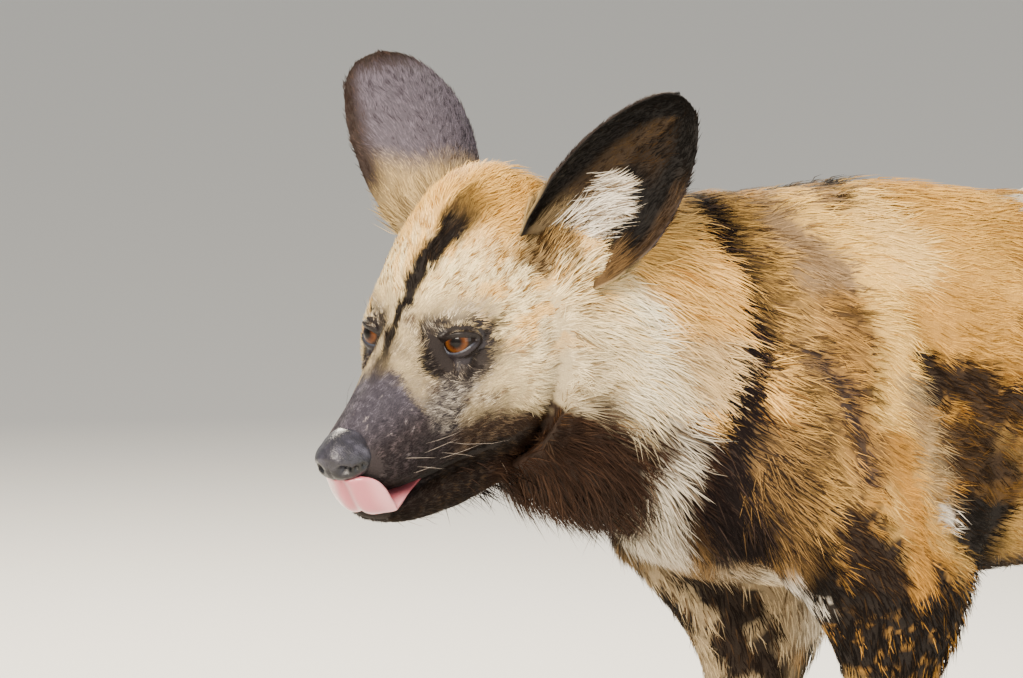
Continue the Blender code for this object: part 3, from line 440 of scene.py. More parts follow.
def ear_surface(place, rows_count, columns):
    """Both faces of an ear: at each share t of its length an arc of radius half width / roll, rolled about
    an axis that leans back by 12 mm sin(pi t) and turned about the axis by t times its twist, its inner
    face set in by the cartilage's thickness."""
    root, axis, opening = (np.asarray(v, float) for v in place[:3])
    length, twist, flatter, broader = place[3:]
    axis = unit(axis)
    opening = unit(opening - axis * (opening @ axis))
    side = np.cross(axis, opening)
    t = 1 - (1 - np.linspace(0, 1, rows_count)) ** 1.25
    half_width, roll = smooth([r[0] for r in EAR_SHEET], [r[1:] for r in EAR_SHEET], t).T
    roll = np.radians(roll * (1 - flatter * t))
    half_width = half_width * (1 + broader * (t - 0.4))
    v = np.sin(np.linspace(-1, 1, columns) * math.pi / 2)
    radius = (half_width / roll)[:, None, None]
    twisted = np.radians(twist * t)[:, None, None]
    opens = np.cos(twisted) * opening + np.sin(twisted) * side
    across = np.cos(twisted) * side - np.sin(twisted) * opening
    turn = (v * roll[:, None])[..., None]
    middle = root + axis * (t * length)[:, None, None] - 0.012 * np.sin(t * math.pi)[:, None, None] * opens
    back = middle + radius * (np.sin(turn) * across + (1 - np.cos(turn)) * opens)
    inwards = np.cos(turn) * opens - np.sin(turn) * across
    thick = np.interp(t, [0, 0.4, 1], [0.0040, 0.0030, 0.0022])[:, None] * np.sqrt(1 - 0.75 * v**6)
    return back, back + inwards * thick[..., None]


def palm_grid(rows, side, pose, size, around):
    """Level ovals of a paw's palm, from the leg's lower end down to the sole."""
    foot = leg_grid(rows, side, 12, 40, pose)[0].mean(axis=0)
    top = leg_grid(rows, side, around, 40, pose)[0]
    height, middle, half_length, half_width = smooth(
        -np.array(PALM)[:, 0], PALM, np.linspace(-PALM[0][0], -PALM[-1][0], 26)
    ).T
    grow = np.where(height > 0.044, 1.0, size)
    angle = np.linspace(0, 2 * math.pi, around, endpoint=False)
    x = foot[0] + (middle * grow)[:, None] + (half_length * grow)[:, None] * np.cos(angle)
    y = foot[1] + side * (half_width * grow)[:, None] * np.sin(angle)
    grid = np.stack([x, y, np.broadcast_to(height[:, None], x.shape)], axis=-1)
    return np.concatenate([(top + [0, 0, 0.004])[None], grid[1:]]), foot


def toe_grids(foot, size, around, steps):
    """Four toes of a paw: ovals along paths that spread from the palm."""
    toes = []
    for root_y, tip_y, length in TOES:
        toe = np.asarray(TOE, float)
        share = (toe[:, 0] - toe[0, 0]) / (toe[-1, 0] - toe[0, 0])
        y = root_y + (tip_y - root_y) * share
        stations = np.column_stack(
            [foot[0] - toe[:, 0] * length * size, foot[1] + y * size, toe[:, 1:2], toe[:, 2:] * size]
        )
        toes.append(spine_grid(stations, around, steps, 2.2))
    return toes


def claw_grid(toe):
    """A claw from the tip of a toe: a tapered curve that first leaves level and then bends down."""
    tip = toe[-1].mean(axis=0)
    aim = unit(toe[-1].mean(axis=0) - toe[-3].mean(axis=0))
    aim = unit(np.array([aim[0], aim[1], -0.06]))
    t = np.linspace(0, 1, 9)[:, None]
    path = tip + aim * (0.0155 * t) + [0, 0, 1] * (0.0016 * t - 0.0022 * t**2)
    radius = 0.0031 * (1 - 0.82 * t**1.3)
    return tube_grid(np.column_stack([path, radius]), 10)


def triangles_of(grid):
    """Points and triangles of a closed tube: two triangles a cell and a fan round the middle of each
    end, turned so that the volume, the sum of corner . (corner x corner) / 6, is positive."""
    rings, around = grid.shape[:2]
    i, j = np.meshgrid(np.arange(rings - 1), np.arange(around), indexing="ij")
    a, b = i * around + j, i * around + (j + 1) % around
    c, d = a + around, b + around
    k = np.arange(around)
    n = (k + 1) % around
    count = rings * around
    last = count - around
    faces = [np.stack([a, b, d], axis=-1).reshape(-1, 3), np.stack([a, d, c], axis=-1).reshape(-1, 3)]
    faces.append(np.stack([np.full(around, count), n, k], axis=-1))
    faces.append(np.stack([np.full(around, count + 1), last + k, last + n], axis=-1))
    points = np.vstack([grid.reshape(-1, 3), grid[0].mean(axis=0), grid[-1].mean(axis=0)])
    return outwards(points, np.concatenate(faces))


def sheet_of(front, back):
    """Points and triangles of the thin closed solid between two layers of the same shape."""
    rows, columns = front.shape[:2]
    index = np.arange(rows * columns).reshape(rows, columns)
    quads = np.stack([index[:-1, :-1], index[:-1, 1:], index[1:, 1:], index[1:, :-1]], axis=-1).reshape(-1, 4)
    edge = np.concatenate([index[0, :-1], index[:-1, -1], index[-1, :0:-1], index[:0:-1, 0]])
    after = np.roll(edge, -1)
    count = rows * columns
    rim = np.stack([edge, edge + count, after + count, after], axis=-1)
    quads = np.concatenate([quads, quads[:, ::-1] + count, rim])
    points = np.concatenate([front.reshape(-1, 3), back.reshape(-1, 3)])
    return outwards(points, np.concatenate([quads[:, [0, 1, 2]], quads[:, [0, 2, 3]]]))


def hoop_of(grid):
    """Points and triangles of a grid that closes on itself both ways, such as a lid's rim."""
    rings, around = grid.shape[:2]
    i, j = np.meshgrid(np.arange(rings), np.arange(around), indexing="ij")
    a, b = i * around + j, i * around + (j + 1) % around
    c, d = (i + 1) % rings * around + j, (i + 1) % rings * around + (j + 1) % around
    faces = [np.stack([a, b, d], axis=-1).reshape(-1, 3), np.stack([a, d, c], axis=-1).reshape(-1, 3)]
    return outwards(grid.reshape(-1, 3), np.concatenate(faces))


def outwards(points, faces):
    """The same shell with its faces pointing outwards: they are turned where the volume is negative."""
    a, b, c = (points[faces[:, k]] - points.mean(axis=0) for k in range(3))
    return points, faces if np.sum(a * np.cross(b, c)) > 0 else faces[:, ::-1]


def joined(shells):
    """Several shells as one list of points and one of faces."""
    counts = np.cumsum([0] + [len(points) for points, _ in shells])
    return (
        np.concatenate([points for points, _ in shells]),
        np.concatenate([faces + start for (_, faces), start in zip(shells, counts)]),
    )


def new_mesh(name, points, faces):
    """A mesh from arrays of points and of faces that all have the same number of corners."""
    mesh = bpy.data.meshes.new(name)
    corners = faces.shape[1]
    mesh.vertices.add(len(points))
    mesh.vertices.foreach_set("co", np.ascontiguousarray(points, dtype=np.float32).ravel())
    mesh.loops.add(faces.size)
    mesh.loops.foreach_set("vertex_index", np.ascontiguousarray(faces, dtype=np.int32).ravel())
    mesh.polygons.add(len(faces))
    mesh.polygons.foreach_set("loop_start", np.arange(0, faces.size, corners, dtype=np.int32))
    mesh.polygons.foreach_set("use_smooth", np.ones(len(faces), dtype=bool))
    mesh.update(calc_edges=True)
    return mesh


def place_piece(name, points, faces, material, colours=None, patches=None, normals=None, unwrap=None):
    """One visible piece, made where it stays: its colours go into the attribute coat and its patches
    into the map OFBake, one place a point."""
    mesh = new_mesh(name, points, faces)
    if colours is not None:
        coat = mesh.attributes.new("coat", "FLOAT_COLOR", "POINT")
        full = np.column_stack([colours, np.ones(len(colours))]).astype(np.float32)
        coat.data.foreach_set("color", full.ravel())
    for label, places in (("OFBake", patches), ("surface", unwrap)):
        if places is not None:
            layer = mesh.uv_layers.new(name=label)
            layer.data.foreach_set("uv", np.ascontiguousarray(places[faces.ravel()], dtype=np.float32).ravel())
    if normals is not None:
        mesh.normals_split_custom_set_from_vertices(normals)
    mesh.materials.append(material)
    piece = bpy.data.objects.new(name, mesh)
    bpy.context.scene.collection.objects.link(piece)
    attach(piece, "root")
    return piece


def fused(shells, voxel, relax):
    """One surface round several overlapping shells: a voxel remesh of them, relaxed by a smoothing
    modifier, read back as points and four-cornered faces."""
    rough = new_mesh("rough", *joined(shells))
    holder = bpy.data.objects.new("rough", rough)
    bpy.context.scene.collection.objects.link(holder)
    remesh = holder.modifiers.new("remesh", "REMESH")
    remesh.mode = "VOXEL"
    remesh.voxel_size = voxel
    smoothing = holder.modifiers.new("relax", "SMOOTH")
    smoothing.factor = 0.5
    smoothing.iterations = relax
    shaped = holder.evaluated_get(bpy.context.evaluated_depsgraph_get())
    mesh = shaped.to_mesh()
    points = np.empty(len(mesh.vertices) * 3, dtype=np.float32)
    mesh.vertices.foreach_get("co", points)
    faces = np.empty(len(mesh.loops), dtype=np.int32)
    mesh.loops.foreach_get("vertex_index", faces)
    shaped.to_mesh_clear()
    bpy.data.objects.remove(holder)
    bpy.data.meshes.remove(rough)
    return points.reshape(-1, 3).astype(float), faces.reshape(-1, 4)


def kept(points, faces, keep):
    """The faces whose corners are all kept, with the points that they use."""
    faces = faces[keep[faces].all(axis=1)]
    used = np.zeros(len(points), bool)
    used[faces] = True
    number = np.cumsum(used) - 1
    return points[used], number[faces]


def normals_at(points, faces):
    """Outward direction at each point: the sum of the cross products of its faces' diagonals or sides."""
    last = 3 if faces.shape[1] == 4 else 2
    first = points[faces[:, 2]] - points[faces[:, 0]]
    second = points[faces[:, last]] - points[faces[:, 1]]
    cross = np.cross(first, second if last == 3 else points[faces[:, 2]] - points[faces[:, 1]])
    total = np.stack(
        [
            np.bincount(faces.ravel(), np.repeat(cross[:, k], faces.shape[1]), len(points))
            for k in range(3)
        ],
        axis=-1,
    )
    return unit(total)


def eased(points, faces, share, times):
    """Points moved towards the mean of their neighbours by a share of the way, several times over."""
    ends = np.concatenate([np.stack([faces[:, k], np.roll(faces, -1, axis=1)[:, k]], axis=-1) for k in range(faces.shape[1])])
    one = np.concatenate([ends[:, 0], ends[:, 1]])
    other = np.concatenate([ends[:, 1], ends[:, 0]])
    count = np.maximum(np.bincount(one, minlength=len(points)), 1)
    for _ in range(times):
        mean = np.stack([np.bincount(one, points[other, k], len(points)) / count for k in range(3)], axis=-1)
        points = points + share[:, None] * (mean - points)
    return points


# Nostril on the left, from its mouth along the slit at its side: place, reach and depth
NOSTRIL = [
    ((0.1135, 0.0082, -0.0312), 0.0032, 0.0070),
    ((0.1110, 0.0110, -0.0322), 0.0026, 0.0040),
    ((0.1070, 0.0150, -0.0325), 0.0021, 0.0028),
    ((0.1025, 0.0178, -0.0322), 0.0018, 0.0020),
]
# Opening between the lids, in degrees from the gaze: towards the outer corner, then upwards
GAZE = (0.85, 0.34, 0.40)
LID_OPENING = [
    (-45, -23), (-38, -33), (-7, -35), (22, -28), (48, -14), (70, -3), (70, 3), (58, 7),
    (35, 10), (10, 12), (-16, 10), (-41, 4), (-50, -2), (-48, -12),
]  # fmt: skip


def eye_frame(side):
    """Middle of an eye, its gaze, the direction of its outer corner and its up, in the head's frame."""
    flip = np.array([1, side, 1])
    gaze = unit(np.array(GAZE) * flip)
    outer = unit(np.cross([0, 0, 1.0], gaze)) * side
    return np.array(EYE_CENTRE) * flip, gaze, outer, np.cross(gaze, outer) * side


def opening_curve(side, count):
    """Directions from the middle of the eye to the margin of its lids: the corners of the opening as a
    closed curve, rounded by a periodic average over its length."""
    corners = np.radians(np.array(LID_OPENING + LID_OPENING[:1], float))
    reach = np.concatenate([[0], np.cumsum(np.linalg.norm(np.diff(corners, axis=0), axis=1))])
    even = np.linspace(0, reach[-1], 480, endpoint=False)
    a, b = (np.interp(even, reach, corners[:, k]) for k in (0, 1))
    bell = np.exp(-0.5 * (np.arange(-24, 25) / 9.0) ** 2)
    bell /= bell.sum()
    a, b = (np.convolve(np.concatenate([v[-24:], v, v[:24]]), bell, mode="valid") for v in (a, b))
    pick = (np.arange(count) * 480 / count).astype(int)
    a, b = a[pick], b[pick]
    _, gaze, outer, up = eye_frame(side)
    away = (np.cos(b) * np.cos(a))[:, None] * gaze
    return away + (np.cos(b) * np.sin(a))[:, None] * outer + np.sin(b)[:, None] * up


def from_margin(points, side):
    """Distance of places, in the head's frame, from the margin of an eye's lids along a ball of the eye's
    radius: the angle to the nearest direction of the opening's curve times the radius, negative inside
    the opening. Also the number of that direction and the distance from the middle of the eye."""
    centre, gaze, outer, up = eye_frame(side)
    curve = opening_curve(side, 120)
    away = points - centre
    far = np.linalg.norm(away, axis=1)
    away = away / np.maximum(far, 1e-9)[:, None]
    near = away @ gaze > -0.2
    distance = np.full(len(points), 0.05)
    number = np.zeros(len(points), int)
    cosines = away[near] @ curve.T
    number[near] = cosines.argmax(axis=1)
    distance[near] = np.arccos(np.clip(cosines.max(axis=1), -1, 1)) * EYE_RADIUS
    middle = unit(curve.mean(axis=0))
    flat = np.stack([away @ outer, away @ up], axis=-1) / np.maximum(away @ gaze, 0.05)[:, None]
    ring = np.stack([curve @ outer, curve @ up], axis=-1) / np.maximum(curve @ gaze, 0.05)[:, None]
    inside = np.zeros(len(points), bool)
    turn = np.zeros(near.sum())
    for one, two in zip(ring, np.roll(ring, -1, axis=0)):
        first, second = one - flat[near], two - flat[near]
        cross = first[:, 0] * second[:, 1] - first[:, 1] * second[:, 0]
        turn += np.arctan2(cross, np.sum(first * second, axis=1))
    inside[near] = (np.abs(turn) > math.pi) & (away[near] @ middle > 0.1)
    distance = np.where(inside, -distance, distance)
    beyond = np.clip(far - 0.0170, 0, None)
    return np.where(beyond > 0, np.hypot(np.clip(distance, 0, None), beyond), distance), number, far


def eye_grid(side, around, steps):
    """The eyeball as rings round its gaze: radius R + 0.9 mm exp(-(angle / 0.55)^2) for the cornea, with
    the share of a turn and of the half circle as its map."""
    centre, gaze, outer, up = eye_frame(side)
    angle = np.linspace(0.004, math.pi - 0.03, steps)
    ring = np.linspace(0, 2 * math.pi, around, endpoint=False)
    radius = (EYE_RADIUS - 0.00015 + 0.0008 * np.exp(-((angle / 0.55) ** 2)))[:, None, None]
    across = np.cos(ring)[None, :, None] * outer + np.sin(ring)[None, :, None] * up
    places = centre + radius * (np.cos(angle)[:, None, None] * gaze + np.sin(angle)[:, None, None] * across)
    share = np.broadcast_to((angle / math.pi)[:, None], (steps, around))
    turn = np.broadcast_to(ring[None] / (2 * math.pi), (steps, around))
    return places, np.stack([turn, share], axis=-1)


def body_shells():
    """Trunk, neck core, legs, paws and tail as closed shells, set in from the solids by the coat's depth."""
    shells = [triangles_of(sunk(spine_grid(TRUNK, 72, 80, 2.2), 0.0055))]
    shells.append(triangles_of(sunk(spine_grid(NECK, 72, 60, 2.15), 0.004)))
    shells.append(triangles_of(sunk(spine_grid(TAIL, 32, 70), 0.002)))
    for rows, side, pose, size in LEGS.values():
        shells.append(triangles_of(sunk(leg_grid(rows, side, 40, 90, pose), 0.0028)))
        palm, foot = palm_grid(rows, side, pose, size, 40)
        shells.append(triangles_of(sunk(palm, 0.0006)))
        shells += [triangles_of(sunk(toe, 0.0004)) for toe in toe_grids(foot, size, 20, 24)]
    return shells


def body_forms(points):
    """Muscle and bone under the skin: each swelling moves the surface outwards by its height times
    exp(-distance squared over reach squared), measured from a line between two places, on both sides."""
    middle = np.stack([points[:, 0], np.zeros(len(points)), np.full(len(points), 0.55)], axis=-1)
    for start, end, reach, height in BODY_FORMS:
        for side in (-1, 1):
            a, b = (np.array(v) * [1, side, 1] for v in (start, end))
            share = np.clip((points - a) @ (b - a) / ((b - a) @ (b - a)), 0, 1)
            away = points - (a + share[:, None] * (b - a))
            push = height * np.exp(-np.sum(away**2, axis=1) / reach**2)
            out = unit(points - middle) * [0.2, 1, 0.2]
            points = points + push[:, None] * out
    return points


# Lines of muscle and bone on the far side: from, to, reach and height
BODY_FORMS = [
    ((-0.225, 0.090, 0.520), (-0.130, 0.085, 0.650), 0.022, 0.0045),
    ((-0.185, 0.095, 0.640), (-0.150, 0.100, 0.520), 0.016, -0.0035),
    ((-0.100, 0.100, 0.600), (-0.095, 0.105, 0.500), 0.022, 0.0035),
    ((-0.060, 0.080, 0.450), (-0.050, 0.100, 0.520), 0.020, -0.0030),
    ((0.220, 0.080, 0.600), (0.200, 0.080, 0.500), 0.030, -0.0060),
    ((0.300, 0.070, 0.600), (0.275, 0.085, 0.500), 0.030, 0.0035),
    ((0.345, 0.070, 0.560), (0.330, 0.080, 0.470), 0.024, 0.0025),
    ((0.180, 0.060, 0.660), (0.240, 0.060, 0.655), 0.020, -0.0020),
]


def head_shells():
    """Skull, lower jaw and a dome over each eye as closed shells, set in from the solids by the coat's
    depth: 0.6 mm at the muzzle and up to 5 mm at the cheeks and crown."""
    skull = head_grid(SKULL, 160, 150, 2.15)
    a, _, u = np.moveaxis(skull, -1, 0)
    back = ramp(-a, -0.050, 0.050)
    depth = 0.0006 + 0.0034 * back + 0.0018 * ramp(-a, 0.04, 0.10)
    skull = sunk(swell_face(skull), depth)
    jaw = head_grid(JAW, 96, 110, 2.3)
    jaw = sunk(jaw, 0.0006 + 0.0014 * ramp(-jaw[..., 0], -0.03, 0.04))
    shells = [triangles_of(from_head(skull)), triangles_of(from_head(jaw))]
    for side in (1, -1):
        centre, gaze, outer, up = eye_frame(side)
        angle = np.linspace(0.05, math.pi - 0.05, 30)[:, None, None]
        ring = np.linspace(0, 2 * math.pi, 48, endpoint=False)[None, :, None]
        across = np.cos(ring) * outer + np.sin(ring) * up
        dome = centre + (EYE_RADIUS + 0.0016) * (np.cos(angle) * gaze + np.sin(angle) * across)
        shells.append(triangles_of(from_head(dome)))
    return shells


def head_forms(points):
    """Folds and hollows of the face, in the head's frame: each line of places moves the skin by its push
    times exp(-(distance / reach)^2) on both sides."""
    for start, end, reach, push in HEAD_FORMS:
        for side in (1, -1):
            flip = np.array([1, side, 1])
            a, b = np.array(start) * flip, np.array(end) * flip
            share = np.clip((points - a) @ (b - a) / ((b - a) @ (b - a)), 0, 1)
            away = np.linalg.norm(points - (a + share[:, None] * (b - a)), axis=1)
            points = points + np.exp(-((away / reach) ** 2))[:, None] * np.array(push) * flip
    return points


# Lines of folds and hollows on the left of the face: from, to, reach and push
HEAD_FORMS = [
    ((0.030, 0.034, -0.074), (0.080, 0.026, -0.0655), 0.0028, (0.0, -0.0020, 0.0)),
    ((-0.010, 0.045, -0.078), (0.030, 0.034, -0.074), 0.0032, (0.0, -0.0022, 0.0)),
    ((-0.018, 0.050, -0.074), (-0.010, 0.045, -0.078), 0.0045, (0.0, -0.0025, 0.0)),
    ((0.040, 0.034, -0.064), (0.078, 0.027, -0.057), 0.0060, (0.0, 0.0018, 0.0)),
    ((0.030, 0.016, -0.004), (0.060, 0.017, -0.012), 0.0060, (0.0, 0.0, 0.0008)),
    ((-0.050, 0.001, 0.056), (-0.005, 0.0, 0.026), 0.0060, (0.0, 0.0, -0.0014)),
]


def socketed(points, side):
    """Skin drawn in under an eye and its lids: no point within 6 mm of the lids' margin stays further
    from the middle of the eye than a limit that falls to 3 mm under the eyeball inside the opening."""
    centre = eye_frame(side)[0]
    distance, _, far = from_margin(points, side)
    limit = np.interp(
        distance, [-0.0012, 0.0004, 0.0030, 0.0050, 0.0070], EYE_RADIUS + np.array([-3, -1.4, 0.2, 0.8, 9]) * 1e-3
    )
    near = (distance < 0.0070) & (far < 0.032) & (far > 0.005)
    new = np.where(near, np.minimum(far, limit), far)
    return centre + (points - centre) * (new / np.maximum(far, 1e-9))[:, None]


def skin_reach(away, points, normals, side):
    """How far the skin lies from the middle of an eye in each direction: the mean distance of the skin's
    points weighted by exp(-(angle / 0.12)^2)."""
    centre, gaze, _, _ = eye_frame(side)
    rel = points - centre
    far = np.linalg.norm(rel, axis=1)
    near = (far < 0.034) & (rel @ gaze > -0.004) & (np.sum(normals * rel, axis=1) > 0)
    rel, far = rel[near] / far[near][:, None], far[near]
    weight = np.exp((away.reshape(-1, 3) @ rel.T - 1) / (0.5 * 0.12**2)) + 1e-12
    return (weight @ far / weight.sum(axis=1)).reshape(away.shape[:-1])


def lid_hoop(side, points, normals):
    """Both lids of an eye as one closed hoop: rows of directions that leave the margin of the opening,
    first along the ball of the eye, then rounding over the lid's edge, into the crease above or the bag
    below, and down into the skin. The inner layer follows 0.8 mm deeper."""
    centre, gaze, outer, up = eye_frame(side)
    margin = opening_curve(side, 120)
    forward = unit(np.roll(margin, -2, axis=0) - np.roll(margin, 2, axis=0))
    away = unit(np.cross(forward, margin))
    middle = unit(margin.mean(axis=0))
    away = away * np.sign(np.sum(away * (margin - middle), axis=1, keepdims=True))
    radial = unit((margin - middle) - margin * np.sum((margin - middle) * margin, axis=1, keepdims=True))
    away = unit(0.45 * away + 0.55 * radial)
    for _ in range(3):
        away = unit(away + np.roll(away, 1, axis=0) + np.roll(away, -1, axis=0))
    steps = np.array([-0.35, 0.0, 0.35, 0.7, 1.1, 1.6, 2.2, 2.9, 3.6, 4.4, 5.2, 6.0, 6.8, 7.6]) * 1e-3
    turn = (steps / EYE_RADIUS)[:, None, None]
    rows = np.cos(turn) * margin + np.sin(turn) * away
    upper = ramp(away @ up, -0.25, 0.45)
    lower = 1 - upper
    rim = np.interp(steps, [-0.00035, 0, 0.00035, 0.0011, 0.0022], np.array([0.02, 0.35, 0.85, 1.35, 1.7]) * 1e-3)
    crease = -0.0008 * bump_at(steps, 0.0044, 0.0010)[:, None] * upper + 0.0007 * bump_at(
        steps, 0.0026, 0.0012
    )[:, None] * upper
    bag = 0.0004 * bump_at(steps, 0.0034, 0.0016)[:, None] * lower
    bag = bag - 0.0004 * bump_at(steps, 0.0058, 0.0012)[:, None] * lower
    reach = skin_reach(rows, points, normals, side)
    skin = reach - 0.0005
    lid = EYE_RADIUS + rim[:, None] + crease + bag
    blend = ramp(steps, 0.0016, 0.0068)[:, None]
    far = lid + (np.maximum(skin, EYE_RADIUS) - lid) * blend
    outside = centre + rows * far[..., None]
    inside = centre + rows * (far - 0.0008)[..., None]
    return np.concatenate([outside, inside[::-1]]), steps


def colour(code):
    """An sRGB hex colour as linear red, green and blue."""
    value = np.array([int(code[i : i + 2], 16) for i in (1, 3, 5)]) / 255
    return np.where(value <= 0.04045, value / 12.92, ((value + 0.055) / 1.055) ** 2.4)


def line_distance(points, line):
    """Distance of points from a line of places, and the share of the line at the nearest place."""
    line = np.asarray(line, float)
    best = np.full(len(points), 9.0)
    share = np.zeros(len(points))
    for number, (a, b) in enumerate(zip(line[:-1], line[1:])):
        t = np.clip((points - a) @ (b - a) / ((b - a) @ (b - a)), 0, 1)
        away = np.linalg.norm(points - (a + t[:, None] * (b - a)), axis=1)
        share = np.where(away < best, (number + t) / (len(line) - 1), share)
        best = np.minimum(best, away)
    return best, share


def pigment(code):
    """Pigment of a hair from the hex colour that its fur shows: with m the largest of red, green and blue,
    (red / m, (green / m)^1.18, (blue / m)^1.5) * m^1.3, deeper and richer, since light that passes between
    hairs greys a coat."""
    value = colour(code)
    most = value.max()
    return (value / most) ** np.array([1.0, 1.18, 1.5]) * most**1.3


class Paint:
    """The coat's colours at a set of places: a ground colour, a second colour and the share of hairs that
    have it. Each layer covers what is below it by its mask."""

    def __init__(self, count):
        self.ground = np.zeros((count, 3))
        self.second = np.zeros((count, 3))
        self.share = np.zeros(count)

    def layer(self, mask, ground, second, share):
        mask = np.broadcast_to(np.asarray(mask, float), self.share.shape)
        self.ground += mask[:, None] * (pigment(ground) - self.ground)
        self.second += mask[:, None] * (pigment(second) - self.second)
        self.share += mask * (share - self.share)

    def over(self, other, mask):
        self.ground += mask[:, None] * (other.ground - self.ground)
        self.second += mask[:, None] * (other.second - self.second)
        self.share += mask * (other.share - self.share)


# Lower edge of the cream face: ahead, then up
FACE_EDGE = [
    (-0.100, -0.150), (-0.080, -0.112), (-0.060, -0.088), (-0.045, -0.073), (-0.036, -0.064),
    (-0.024, -0.0565), (0.000, -0.0505), (0.020, -0.0460), (0.035, -0.0390), (0.046, -0.0250),
    (0.054, 0.0300),
]  # fmt: skip
# Dark stripe up the middle of the face: ahead, left, up, half width and strength
STRIPE = [
    (0.048, -0.001, -0.002, 0.0050, 0.45),
    (0.028, -0.004, 0.005, 0.0034, 0.85),
    (0.010, -0.005, 0.016, 0.0032, 0.90),
    (-0.003, -0.003, 0.026, 0.0042, 0.96),
    (-0.014, -0.002, 0.035, 0.0056, 1.00),
    (-0.027, 0.004, 0.046, 0.0068, 1.00),
    (-0.046, 0.012, 0.057, 0.0078, 0.92),
    (-0.066, 0.016, 0.064, 0.0085, 0.62),
    (-0.085, 0.018, 0.066, 0.0090, 0.20),
]


